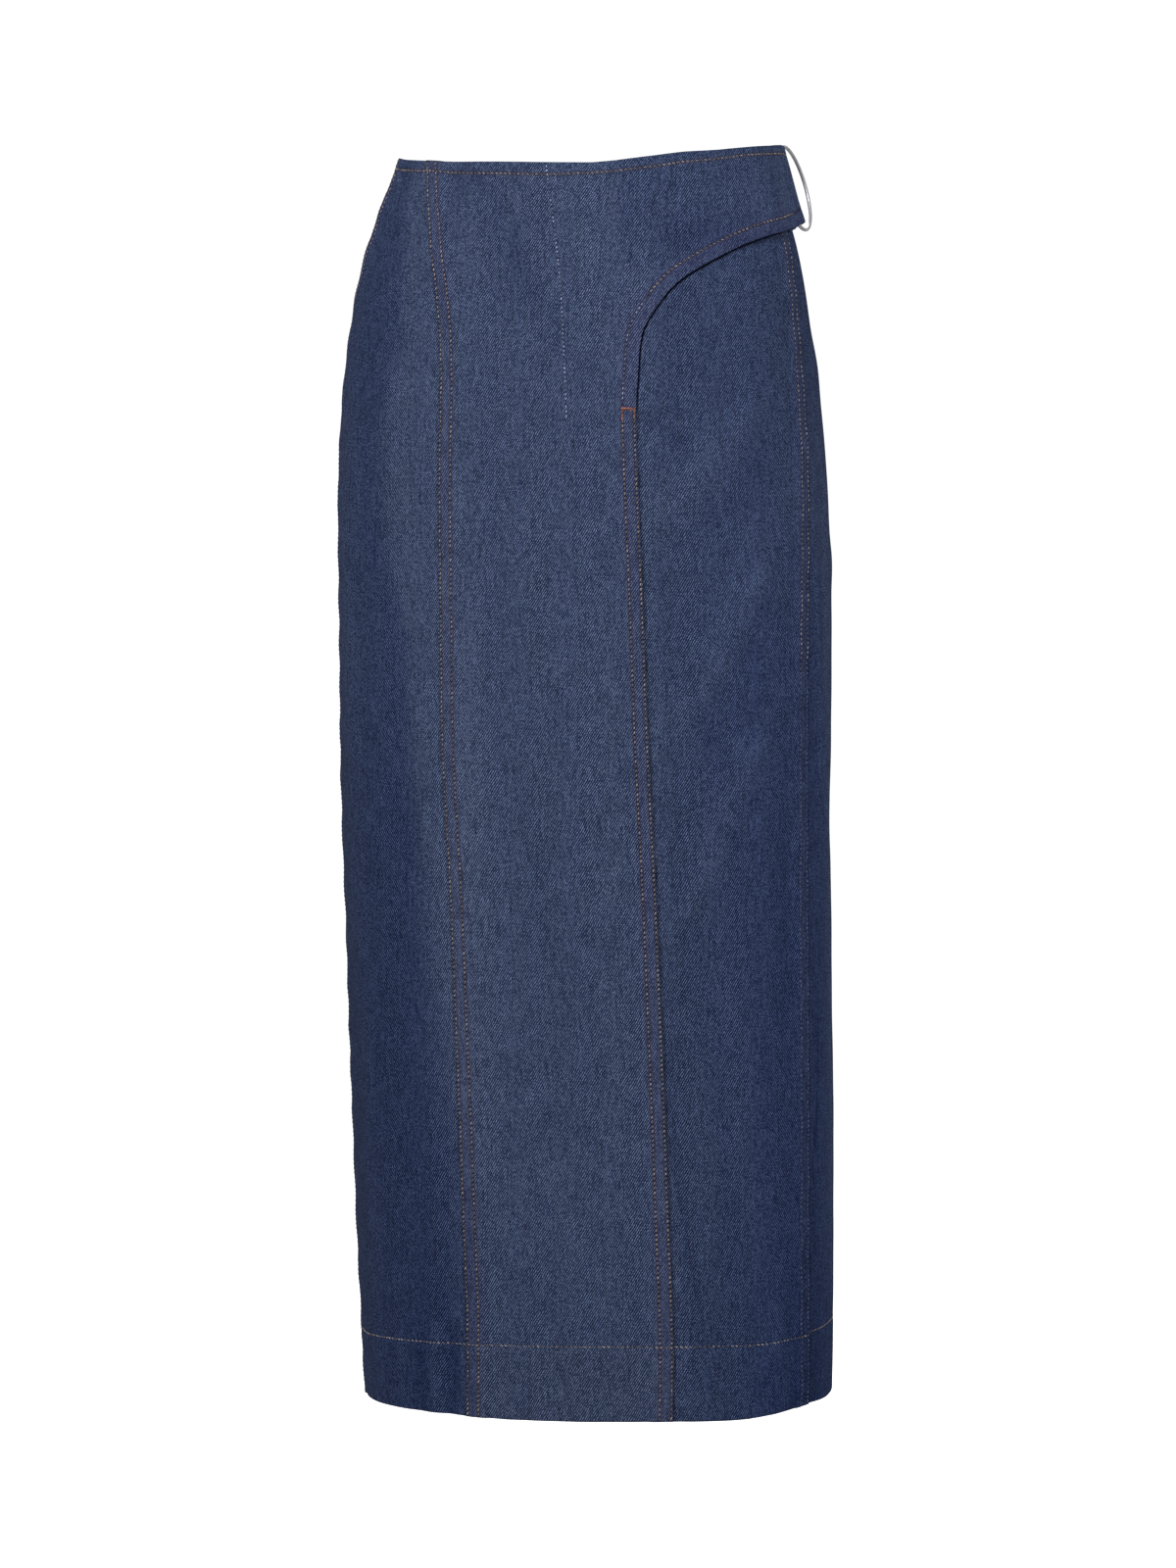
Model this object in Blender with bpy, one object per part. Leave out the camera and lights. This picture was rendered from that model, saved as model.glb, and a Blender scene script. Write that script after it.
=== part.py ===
"""Long denim skirt standing filled out, as cloth panels with laps at the seams.

Sizes are in millimetres in the tables and turned to metres when a mesh is made.
Z is up, the front centre faces -Y and the origin is in the middle of the waist.
A place on the skirt is (s, z): s millimetres round from the front line at that
height, plus towards +X.
"""
import math

import bpy
import numpy as np

MM = 0.001

# cloth
CLOTH = 1.2            # thickness of the denim
GAP = 0.3              # space between two pieces that lie on each other
UNDER_LAP = 11.5       # seam allowance that runs on under the next panel
LAP_FLAT = 11.8        # width of the raised part of a lap
LAP_END = 21.0         # where the lap is level with its own panel again
RAISED = CLOTH + GAP
HEM_TURN = 1.5         # extra thickness of the turned-up hem
HEM_START = -797.5
HEM_FULL = -799.0
HEM_Z = -850.0

# height of each row of points
ROWS = [0, -12, -25, -45, -65, -85, -105, -130, -150, -165, -200, -250, -300,
        -370, -440, -510, -580, -650, -720, HEM_START, HEM_FULL, HEM_Z]
TACK_Z = -165          # the flap leaves the panel seam above this height
RISE_FADE = 60.0       # the lift of the waist edge dies out this far down

# sections of the filled-out skirt: half width, half depths, roundness, turn, shift
SECTIONS = [
    # z,    wide,  front, back,  power, turn, shift
    (30, 118.0, 84.0, 86.0, 2.15, 0.0, -1.4),
    (0, 128.2, 91.0, 93.0, 2.20, 0.0, -1.9),
    (-30, 139.4, 95.5, 100.0, 2.25, 0.0, -2.5),
    (-60, 148.7, 99.5, 106.5, 2.30, 0.0, -3.3),
    (-100, 156.2, 104.5, 114.0, 2.36, 0.0, -4.0),
    (-150, 162.6, 109.5, 121.0, 2.42, 0.0, -3.9),
    (-210, 167.0, 113.0, 125.5, 2.46, 0.2, -2.6),
    (-290, 168.5, 115.0, 125.5, 2.50, 0.7, -0.9),
    (-400, 168.3, 116.5, 121.0, 2.50, 1.9, -0.2),
    (-550, 166.5, 118.5, 116.5, 2.52, 4.0, 2.6),
    (-700, 164.8, 121.0, 115.0, 2.56, 5.8, 6.2),
    (-850, 160.7, 123.0, 115.0, 2.60, 6.5, 9.4),
]
SHIFT_ANGLE = 15.0     # direction of the sideways shift, degrees from +X

# seam lines, s at each height
SEAMS = [
    # z, left side, left front, right front, right side
    (0, -146.0, -96.6, 60.0, 176.0),
    (-25, -153.5, -90.5, 61.0, 182.5),
    (-50, -160.5, -85.3, 62.0, 189.0),
    (-90, -180.0, -76.3, 64.0, 195.5),
    (-140, -192.0, -70.8, 66.2, 200.0),
    (-200, -202.0, -72.3, 67.2, 201.0),
    (-300, -206.0, -73.8, 68.7, 195.5),
    (-400, -208.0, -74.4, 69.9, 192.2),
    (-480, -209.5, -72.8, 70.7, 189.0),
    (-560, -211.0, -73.0, 70.1, 185.0),
    (-640, -212.2, -73.5, 69.4, 181.5),
    (-720, -213.0, -73.7, 69.1, 178.0),
    (-800, -212.2, -73.4, 69.3, 176.3),
    (-850, -211.0, -74.8, 67.6, 175.5),
]

# lift of the waist edge round the skirt
WAIST = [
    # s, lift, lift of the centre front panel
    (-360, 2.5, 2.5),
    (-280, 2.8, 2.8),
    (-200, 3.8, 3.8),
    (-150, 4.0, 4.0),
    (-127, 3.0, 3.0),
    (-95, 1.8, 1.8),
    (-72, 0.9, 0.9),
    (-36, 0.6, 0.6),
    (0, 0.0, 0.0),
    (30, -0.3, -0.3),
    (46, 0.4, 0.9),
    (61, 1.2, 2.8),
    (96, 2.4, 6.8),
    (150, 3.8, 10.9),
    (200, 3.8, 13.0),
    (280, 2.8, 13.0),
    (360, 2.5, 2.5),
]

# the flap, one row for each column of points from the panel seam to its end
FLAP = [
    # s low, z low, s top, z top
    (66.7, -165.0, 60.0, 2.7),
    (67.2, -152.0, 66.0, 3.5),
    (68.0, -139.0, 72.0, 4.2),
    (69.0, -121.0, 78.0, 5.0),
    (72.0, -108.8, 84.5, 5.8),
    (77.5, -99.2, 91.5, 6.6),
    (84.5, -88.9, 99.0, 7.0),
    (93.6, -79.4, 107.5, 7.4),
    (104.0, -72.2, 117.0, 8.0),
    (115.0, -66.0, 127.0, 8.9),
    (127.0, -60.1, 137.0, 9.8),
    (139.5, -55.1, 147.5, 10.8),
    (152.0, -51.5, 157.0, 11.5),
    (165.0, -48.6, 166.5, 12.0),
    (178.5, -46.6, 175.0, 12.4),
]
# the rest of it, y along the hanging end
FLAP_END = [
    # y low, z low, y top, z top
    (-8.0, -44.6, 9.0, 12.7),
    (0.0, -43.8, 13.4, 12.9),
    (8.0, -43.0, 17.8, 13.0),
    (17.0, -41.6, 22.6, 13.1),
    (25.0, -40.4, 27.4, 13.2),
    (32.3, -39.7, 32.3, 12.4),
]
FLAP_NOSE = [
    # turn of the fold in degrees, z low, z top
    (45, -39.6, 11.0),
    (90, -39.5, 9.4),
    (135, -39.4, 10.0),
    (180, -39.2, 11.4),
]
FLAP_BACK = [
    # y, z low, z top of the part that is turned back
    (26.0, -39.4, 12.2),
    (20.0, -39.9, 12.2),
    (14.0, -40.6, 12.1),
    (9.0, -41.4, 12.0),
    (4.0, -42.2, 11.9),
    (0.0, -42.6, 11.8),
    (-4.0, -43.0, 11.7),
]
FLAP_SWELL = 1.0       # how far the flap lifts off the panel by the side
HANG_X = 139.6         # outer face of the hanging end where y is HANG_Y, z is HANG_Z
HANG_Y = 38.5
HANG_Z = -16.0
HANG_LEAN = 0.278      # outwards for each millimetre down
HANG_IN = -0.045       # inwards for each millimetre along
HANG_FROM = -52.0      # y where the hanging end starts to leave the body
HANG_OVER = 60.0       # and over what length

# ring
RING_R = 29.5          # to the middle of the wire
WIRE_R = 1.25
RING_Y = 39.5
RING_Z = -15.5
WIRE_SPACE = 2.9       # between the two layers of the flap at the ring
FOLD_R = CLOTH + WIRE_SPACE / 2
RING_SIDES = 60
WIRE_SIDES = 10


def natural_spline(xs, vs):
    """Cubic through the points of a table, xs falling."""
    t = np.array(xs, float)[::-1]
    v = np.array(vs, float)[::-1]
    n = len(t)
    h = np.diff(t)
    a = np.eye(n)
    b = np.zeros(n)
    for i in range(1, n - 1):
        a[i, i - 1], a[i, i], a[i, i + 1] = h[i - 1], 2 * (h[i - 1] + h[i]), h[i]
        b[i] = 3 * ((v[i + 1] - v[i]) / h[i] - (v[i] - v[i - 1]) / h[i - 1])
    c = np.linalg.solve(a, b)

    def value(x):
        x = np.asarray(x, float)
        k = np.clip(np.searchsorted(t, x) - 1, 0, n - 2)
        d = x - t[k]
        p = (v[k + 1] - v[k]) / h[k] - h[k] * (2 * c[k] + c[k + 1]) / 3
        q = (c[k + 1] - c[k]) / (3 * h[k])
        return v[k] + p * d + c[k] * d * d + q * d ** 3
    return value


section = [natural_spline([r[0] for r in SECTIONS], [r[k] for r in SECTIONS])
           for k in range(1, 7)]
seam = [natural_spline([r[0] for r in SEAMS], [r[k] for r in SEAMS])
        for k in range(1, 5)]
left_side, left_front, right_front, right_side = seam


def round_point(ph, z):
    """Point of the plain outer face at turn ph from the front and height z."""
    wide, front, back, power, turn, shift = [f(z) for f in section]
    c, sn = np.abs(np.cos(ph)), np.abs(np.sin(ph))
    deep = np.where(np.cos(ph) > 0, front, back)
    r = ((sn / wide) ** power + (c / deep) ** power) ** (-1 / power)
    x, y = r * np.sin(ph), -r * np.cos(ph)
    t = np.radians(turn)
    a = math.radians(SHIFT_ANGLE)
    return np.stack([x * np.cos(t) - y * np.sin(t) + shift * math.cos(a),
                     x * np.sin(t) + y * np.cos(t) + shift * math.sin(a),
                     z + 0 * x], -1)


# turn for each distance round, tabled by height
LEVELS = np.arange(-870, 41, 5.0)
STEPS = 720
turns, girths = [], []
for level in LEVELS:
    ph = np.linspace(-np.pi, np.pi, 2 * STEPS + 1)
    pts = round_point(ph, np.full(len(ph), level))
    run = np.concatenate([[0], np.cumsum(np.linalg.norm(np.diff(pts, axis=0), axis=1))])
    run -= run[STEPS]
    girths.append(run[-1] - run[0])
    turns.append(np.interp(np.linspace(-0.5, 0.5, STEPS + 1) * girths[-1], run, ph))
turns = np.array(turns)
girths = np.array(girths)


def girth(z):
    return np.interp(z, LEVELS, girths)


def turn_at(s, z):
    u = (s / girth(z) + 0.5) * STEPS
    wraps = np.floor(u / STEPS)
    u = u - wraps * STEPS
    i = np.clip((z - LEVELS[0]) / 5.0, 0, len(LEVELS) - 1.001)
    k, j = i.astype(int), np.clip(u, 0, STEPS - 0.001).astype(int)
    fz, fu = i - k, u - j
    low = turns[k, j] * (1 - fu) + turns[k, j + 1] * fu
    high = turns[k + 1, j] * (1 - fu) + turns[k + 1, j + 1] * fu
    return low * (1 - fz) + high * fz


def skin(s, z, out=0.0):
    """Points at (s, z), moved out from the plain outer face."""
    s, z, out = np.broadcast_arrays(np.asarray(s, float), np.asarray(z, float),
                                    np.asarray(out, float))
    ph = turn_at(s, z)
    p = round_point(ph, z)
    e = 1e-3
    across = round_point(ph + e, z) - round_point(ph - e, z)
    up = round_point(ph, z + 0.5) - round_point(ph, z - 0.5)
    n = np.cross(across, up)
    n /= np.linalg.norm(n, axis=-1)[..., None]
    return p + out[..., None] * n


def quarter(z):
    """s where the flap's y is 0."""
    return girth(z) * 0.25


def flap_face(s, z):
    """Outer face of the flap: on the panels first, then hanging flat."""
    s, z = np.broadcast_arrays(np.asarray(s, float), np.asarray(z, float))
    side = quarter(z) + 2.0
    swell = FLAP_SWELL * np.clip((s - 66) / (side - 66), 0, 1)
    near = skin(np.minimum(s, side), z, RAISED + swell)
    along = skin(side + 0.5, z) - skin(side - 0.5, z)
    along[..., 2] = 0
    along /= np.linalg.norm(along, axis=-1)[..., None]
    near = near + along * np.maximum(s - side, 0)[..., None]
    y = s - quarter(z)
    flat = np.stack([HANG_X + HANG_LEAN * (HANG_Z - z) - HANG_IN * (y - HANG_Y),
                     y, z + 0 * y], -1)
    t = np.clip((y - HANG_FROM - 2) / HANG_OVER, 0, 1)
    w = (t ** 3 * (t * (6 * t - 15) + 10))[..., None]
    return near * (1 - w) + flat * w


def flap(s, z, out=0.0):
    s, z = np.broadcast_arrays(np.asarray(s, float), np.asarray(z, float))
    n = np.cross(flap_face(s + 0.2, z) - flap_face(s - 0.2, z),
                 flap_face(s, z + 0.5) - flap_face(s, z - 0.5))
    n /= np.linalg.norm(n, axis=-1)[..., None]
    return flap_face(s, z) + np.asarray(out, float)[..., None] * n


def lifted(z, s, column):
    """Height of a row at s, with the lift of the waist edge faded downwards."""
    lift = np.interp(s, [r[0] for r in WAIST], [r[column] for r in WAIST])
    return z + lift * np.clip(1 + z / RISE_FADE, 0, 1)


def lap_over(width):
    """Columns of a panel edge that lies on its neighbour, from the edge in."""
    return [(0.0, RAISED, GAP, 0), (LAP_FLAT, RAISED, GAP, 0), (width, 0.0, -CLOTH, 1)]


def panel_grid(left, right, laps, count, lift_column=1):
    """Outer and inner points of a panel between two seam lines.

    laps is what the left and the right edge do, "over" or "under".
    """
    outer, inner = [], []
    for z in ROWS:
        a, b = float(left(z)), float(right(z))
        width = min(LAP_END, 0.45 * (b - a))
        start = ([(a + d, o, i, h) for d, o, i, h in lap_over(width)] if laps[0] == "over"
                 else [(a - UNDER_LAP, 0.0, -CLOTH, 0), (a, 0.0, -CLOTH, 0)])
        end = ([(b - d, o, i, h) for d, o, i, h in lap_over(width)] if laps[1] == "over"
               else [(b + UNDER_LAP, 0.0, -CLOTH, 0), (b, 0.0, -CLOTH, 0)])[::-1]
        first, last = start[-1][0], end[0][0]
        middle = [(first + (last - first) * k / count, 0.0, -CLOTH, 1)
                  for k in range(1, count)]
        cols = start + middle + end
        s = np.array([c[0] for c in cols])
        height = lifted(z, s, lift_column)
        turn_up = HEM_TURN if z <= HEM_FULL else 0.0
        outer.append(skin(s, height, np.array([c[1] for c in cols])))
        inner.append(skin(s, height, np.array([c[2] - c[3] * turn_up for c in cols])))
    return np.array(outer), np.array(inner)


def solid(name, colour, rough, metal, grids):
    """One closed mesh from patches of cloth that share points along their joins."""
    index, verts = {}, []

    def number(p):
        key = tuple(np.round(p, 4))
        if key not in index:
            index[key] = len(verts)
            verts.append(tuple(float(c) * MM for c in p))
        return index[key]

    faces, other, edges = [], {}, {}
    for outer, inner in grids:
        rows, cols = outer.shape[:2]
        o = [[number(outer[r, c]) for c in range(cols)] for r in range(rows)]
        i = [[number(inner[r, c]) for c in range(cols)] for r in range(rows)]
        for r in range(rows):
            for c in range(cols):
                other[o[r][c]] = i[r][c]
        for r in range(rows - 1):
            for c in range(cols - 1):
                ring = [o[r][c], o[r + 1][c], o[r + 1][c + 1], o[r][c + 1]]
                for half in ((ring[0], ring[1], ring[2]), (ring[0], ring[2], ring[3])):
                    faces.append(list(half))
                    faces.append([other[v] for v in reversed(half)])
                for k in range(4):
                    pair = (ring[k], ring[(k + 1) % 4])
                    if (pair[1], pair[0]) in edges:
                        del edges[(pair[1], pair[0])]
                    else:
                        edges[pair] = True
    for a, b in edges:
        faces.append([b, a, other[a], other[b]])
    return make(name, verts, faces, colour, rough, metal)


def make(name, verts, faces, colour, rough, metal):
    mesh = bpy.data.meshes.new(name)
    mesh.from_pydata(verts, [], faces)
    mesh.validate()
    mesh.update()
    obj = bpy.data.objects.new(name, mesh)
    bpy.context.scene.collection.objects.link(obj)
    mat = bpy.data.materials.new(name)
    mat.use_nodes = True
    shader = mat.node_tree.nodes["Principled BSDF"]
    shader.inputs["Base Color"].default_value = colour
    shader.inputs["Roughness"].default_value = rough
    shader.inputs["Metallic"].default_value = metal
    mesh.materials.append(mat)
    return obj


for old in list(bpy.data.objects):
    bpy.data.objects.remove(old, do_unlink=True)

DENIM = (0.045, 0.062, 0.125, 1.0)
STEEL = (0.62, 0.60, 0.58, 1.0)

# ---- centre front panel, its flap and the end that is turned back
front = panel_grid(left_front, right_front, ("over", "over"), 7, 2)

tack_row = ROWS.index(TACK_Z)
flap_outer, flap_inner = [], []
for r, z in enumerate(ROWS[:tack_row + 1]):
    t = (z - TACK_Z) / float(-TACK_Z)
    s_row, z_row = [], []
    for k, (sl, zl, st, zt) in enumerate(FLAP[1:], 1):
        zz = zl + (zt - zl) * t
        plain = sl + (st - sl) * t
        low, top = sl - quarter(zl), st - quarter(zt)
        hung = quarter(zz) + low + (top - low) * t
        q = min(max((k - 4) / 5.0, 0.0), 1.0)
        s_row.append(plain + (hung - plain) * q)
        z_row.append(zz)
    for yl, zl, yt, zt in FLAP_END:
        zz = zl + (zt - zl) * t
        s_row.append(float(quarter(zz)) + yl + (yt - yl) * t)
        z_row.append(zz)
    outer = [p for p in flap(np.array(s_row), np.array(z_row))]
    inner = [p for p in flap(np.array(s_row), np.array(z_row), -CLOTH * np.ones(len(s_row)))]
    # the fold round the ring's wire, then the layer behind
    fold_y = FLAP_END[-1][0]
    for turn, zl, zt in FLAP_NOSE:
        zz = zl + (zt - zl) * t
        a = math.radians(turn)
        for layer, radius in ((outer, FOLD_R), (inner, FOLD_R - CLOTH)):
            s = float(quarter(zz)) + fold_y + radius * math.sin(a)
            layer.append(flap(s, zz, -FOLD_R + radius * math.cos(a)))
    for y, zl, zt in FLAP_BACK:
        zz = zl + (zt - zl) * t
        reach = 34.5 ** 2 - ((zz - RING_Z) / 0.963) ** 2
        begins = RING_Y - math.sqrt(max(reach, 0.0))
        space = GAP + (WIRE_SPACE - GAP) * min(max((y - begins + 8) / 8, 0.0), 1.0)
        s = float(quarter(zz)) + y
        outer.append(flap(s, zz, -(2 * CLOTH + space)))
        inner.append(flap(s, zz, -(CLOTH + space)))
    flap_outer.append([front[0][r, -1]] + outer)
    flap_inner.append([front[1][r, -1]] + inner)

solid("centre_front", DENIM, 0.85, 0.0,
      [front, (np.array(flap_outer), np.array(flap_inner))])

# ---- side front panels, each over the back at its side seam
solid("side_front_left", DENIM, 0.85, 0.0,
      [panel_grid(left_side, left_front, ("over", "under"), 8)])
solid("side_front_right", DENIM, 0.85, 0.0,
      [panel_grid(right_front, right_side, ("under", "over"), 9)])


# ---- back panels, the left one over the right one at the centre back
def half_round(z):
    return girth(lifted(z, 360.0, 1)) / 2


def back_from_left(z):
    return -half_round(z)


def back_from_right(z):
    return half_round(z)


solid("back_left", DENIM, 0.85, 0.0,
      [panel_grid(back_from_left, left_side, ("over", "under"), 15)])
solid("back_right", DENIM, 0.85, 0.0,
      [panel_grid(right_side, back_from_right, ("under", "under"), 16)])

# ---- ring, in the middle plane of the folded end
normal = np.array([1.0, HANG_IN, HANG_LEAN])
normal /= np.linalg.norm(normal)
along = np.array([-HANG_IN, 1.0, 0.0])
along /= np.linalg.norm(along)
upward = np.cross(normal, along)
middle = np.array([HANG_X + HANG_LEAN * (HANG_Z - RING_Z) - HANG_IN * (RING_Y - HANG_Y),
                   RING_Y, RING_Z]) - FOLD_R * normal
verts, faces = [], []
for i in range(RING_SIDES):
    a = 2 * math.pi * i / RING_SIDES
    spoke = math.cos(a) * along + math.sin(a) * upward
    for j in range(WIRE_SIDES):
        b = 2 * math.pi * j / WIRE_SIDES
        p = middle + spoke * (RING_R + WIRE_R * math.cos(b)) + normal * WIRE_R * math.sin(b)
        verts.append(tuple(p * MM))
for i in range(RING_SIDES):
    for j in range(WIRE_SIDES):
        i2, j2 = (i + 1) % RING_SIDES, (j + 1) % WIRE_SIDES
        faces.append([i * WIRE_SIDES + j, i2 * WIRE_SIDES + j,
                      i2 * WIRE_SIDES + j2, i * WIRE_SIDES + j2])
make("ring", verts, faces, STEEL, 0.25, 1.0)
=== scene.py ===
"""Denim skirt: fine cloth with its creases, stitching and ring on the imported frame.

Sizes are in millimetres in the tables and turned to metres when a mesh is made.
A place on the skirt is (s, z): s millimetres round from the front line at that
height, plus towards +X.
"""
import math

import bpy
import numpy as np
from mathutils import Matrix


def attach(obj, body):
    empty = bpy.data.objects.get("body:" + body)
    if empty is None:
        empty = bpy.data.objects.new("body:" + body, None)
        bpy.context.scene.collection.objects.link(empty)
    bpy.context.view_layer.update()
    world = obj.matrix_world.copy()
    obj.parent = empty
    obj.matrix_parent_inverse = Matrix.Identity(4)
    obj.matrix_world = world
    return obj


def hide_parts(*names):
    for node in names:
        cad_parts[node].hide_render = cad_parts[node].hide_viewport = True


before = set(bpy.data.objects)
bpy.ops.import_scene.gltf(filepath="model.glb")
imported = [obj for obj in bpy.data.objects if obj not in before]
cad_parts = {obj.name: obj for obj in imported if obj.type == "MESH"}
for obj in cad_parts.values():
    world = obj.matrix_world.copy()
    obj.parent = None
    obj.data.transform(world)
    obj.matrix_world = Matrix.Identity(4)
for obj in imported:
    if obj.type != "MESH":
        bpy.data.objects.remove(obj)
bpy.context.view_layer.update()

MM = 0.001

# ---------------------------------------------------------------- sizes
CLOTH = 1.1            # thickness that shows
GAP = 0.3
UNDER_LAP = 11.5
RAISED = 1.5           # outer face of a lap above the plain panel
STITCH_OUT = 1.4       # rows of a double seam, in from the fold
STITCH_IN = 9.3
PITCH = 3.2            # one stitch
HEM_ROW = -797.0
HEM_ROWS = [
    # s, z of the row: the hem is a little narrower at the left
    (-360, -797.0), (-280, -800.0), (-215, -804.0), (-172, -803.0), (-150, -801.7), (-137, -801.0),
    (-113, -800.2), (-86, -799.2), (-57, -798.8), (-22, -798.2), (13, -797.6), (45, -797.0),
    (98, -797.5), (126, -798.2), (140, -798.0), (160, -797.2), (176, -796.2), (181, -795.0),
    (215, -795.0), (270, -797.0),
]
HEM_LIFT = [
    # s, how far the hem's edge is drawn up: most by the right side seam
    (-330, 0.0), (-250, 0.4), (-212, 0.7), (-190, 1.0), (-170, 1.2), (-140, 1.7), (-113, 1.9),
    (-88, 2.0), (-70, 1.6), (-45, 0.7), (0, 0.9), (40, 1.5), (64, 2.1), (80, 1.6), (105, 1.2),
    (120, 1.4), (134, 2.5), (145, 3.3), (160, 4.5), (168, 5.2), (176, 5.6), (184, 5.4),
    (195, 4.8), (205, 4.2), (220, 3.4), (250, 2.0), (300, 0.8), (350, 0.0),
]
HEM_Z = -850.0
TACK_Z = -165.0
RISE_FADE = 60.0

SECTIONS = [
    # z,    wide,  front, back,  power, turn, shift
    (30, 118.0, 84.0, 86.0, 2.15, 0.0, -1.4),
    (0, 128.2, 91.0, 93.0, 2.20, 0.0, -1.9),
    (-30, 139.4, 95.5, 100.0, 2.25, 0.0, -2.5),
    (-60, 148.7, 99.5, 106.5, 2.30, 0.0, -3.3),
    (-100, 156.2, 104.5, 114.0, 2.36, 0.0, -4.0),
    (-150, 162.6, 109.5, 121.0, 2.42, 0.0, -3.9),
    (-210, 167.0, 113.0, 125.5, 2.46, 0.2, -2.6),
    (-290, 168.5, 115.0, 125.5, 2.50, 0.7, -0.9),
    (-400, 168.3, 116.5, 121.0, 2.50, 1.9, -0.2),
    (-550, 166.5, 118.5, 116.5, 2.52, 4.0, 2.6),
    (-700, 164.8, 121.0, 115.0, 2.56, 5.8, 6.2),
    (-850, 160.7, 123.0, 115.0, 2.60, 6.5, 9.4),
]
SHIFT_ANGLE = 15.0

SEAMS = [
    # z, left side, left front, right front, right side
    (0, -146.0, -96.6, 60.0, 176.0),
    (-25, -153.5, -90.5, 61.0, 182.5),
    (-50, -160.5, -85.3, 62.0, 189.0),
    (-90, -180.0, -76.3, 64.0, 195.5),
    (-140, -192.0, -70.8, 66.2, 200.0),
    (-200, -202.0, -72.3, 67.2, 201.0),
    (-300, -206.0, -73.8, 68.7, 195.5),
    (-400, -208.0, -74.4, 69.9, 192.2),
    (-480, -209.5, -72.8, 70.7, 189.0),
    (-560, -211.0, -73.0, 70.1, 185.0),
    (-640, -212.2, -73.5, 69.4, 181.5),
    (-720, -213.0, -73.7, 69.1, 178.0),
    (-800, -212.2, -73.4, 69.3, 176.3),
    (-850, -211.0, -74.8, 67.6, 175.5),
]

WAIST = [
    # s, lift, lift of the centre front panel
    (-360, 2.5, 2.5),
    (-280, 2.8, 2.8),
    (-200, 3.8, 3.8),
    (-150, 4.0, 4.0),
    (-127, 3.0, 3.0),
    (-95, 1.8, 1.8),
    (-72, 0.9, 0.9),
    (-36, 0.6, 0.6),
    (0, 0.0, 0.0),
    (30, -0.3, -0.3),
    (46, 0.4, 0.9),
    (61, 1.2, 2.8),
    (96, 2.4, 6.8),
    (150, 3.8, 10.9),
    (200, 3.8, 13.0),
    (280, 2.8, 13.0),
    (360, 2.5, 2.5),
]
# how far below the edge the waist row runs
WAIST_ROW = [
    # s, depth
    (-150, 7.0), (-94, 6.9), (-60, 7.8), (0, 8.4), (28, 7.2), (71, 7.5),
    (93, 7.0), (117, 6.3), (140, 5.7), (175, 5.9), (214, 6.6), (360, 7.0),
]

# lower edge of the flap and the waist edge over it
FLAP = [
    # s low, z low, s top, z top
    (66.7, -165.0, 60.0, 2.7),
    (67.2, -152.0, 66.0, 3.5),
    (68.0, -139.0, 72.0, 4.2),
    (69.0, -121.0, 78.0, 5.0),
    (72.0, -108.8, 84.5, 5.8),
    (77.5, -99.2, 91.5, 6.6),
    (84.5, -88.9, 99.0, 7.0),
    (93.6, -79.4, 107.5, 7.4),
    (104.0, -72.2, 117.0, 8.0),
    (115.0, -66.0, 127.0, 8.9),
    (127.0, -60.1, 137.0, 9.8),
    (139.5, -55.1, 147.5, 10.8),
    (152.0, -51.5, 157.0, 11.5),
    (165.0, -48.6, 166.5, 12.0),
    (178.5, -46.6, 175.0, 12.4),
]
FLAP_END = [
    # y low, z low, y top, z top
    (-8.0, -44.6, 9.0, 12.7),
    (0.0, -43.8, 13.4, 12.9),
    (8.0, -43.0, 17.8, 13.0),
    (17.0, -41.6, 22.6, 13.1),
    (25.0, -40.4, 27.4, 13.2),
    (32.3, -39.7, 32.3, 12.4),
]
FLAP_NOSE = [
    # turn of the fold in degrees, z low, z top
    (0, -39.7, 12.4),
    (45, -40.0, 11.0),
    (90, -40.4, 9.4),
    (135, -40.8, 10.0),
    (180, -41.0, 11.4),
]
FLAP_BACK = [
    # y, z low, z top of the part that is turned back
    (32.3, -41.0, 11.4),
    (26.0, -41.9, 11.9),
    (20.0, -42.7, 11.8),
    (14.0, -43.5, 11.5),
    (9.0, -44.2, 11.1),
    (4.0, -44.9, 10.7),
    (0.0, -45.4, 10.4),
    (-4.0, -45.8, 10.1),
]
FLAP_SWELL = 1.0
HANG_X = 139.6
HANG_Y = 38.5
HANG_Z = -16.0
HANG_LEAN = 0.278
HANG_IN = -0.045
HANG_FROM = -52.0
HANG_OVER = 60.0
RING_R = 29.5
WIRE_R = 1.25
RING_Y = 39.5
RING_Z = -15.5
WIRE_SPACE = 2.9
FOLD_R = 1.2 + WIRE_SPACE / 2

# the dart, down from the waist at the centre front
DART = [
    # s, z
    (-1.6, -1.5), (1.8, -19.8), (6.0, -40.1), (11.7, -70.9), (15.4, -101.6),
    (17.9, -134.8), (19.1, -159.6), (19.3, -170.7),
]

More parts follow.
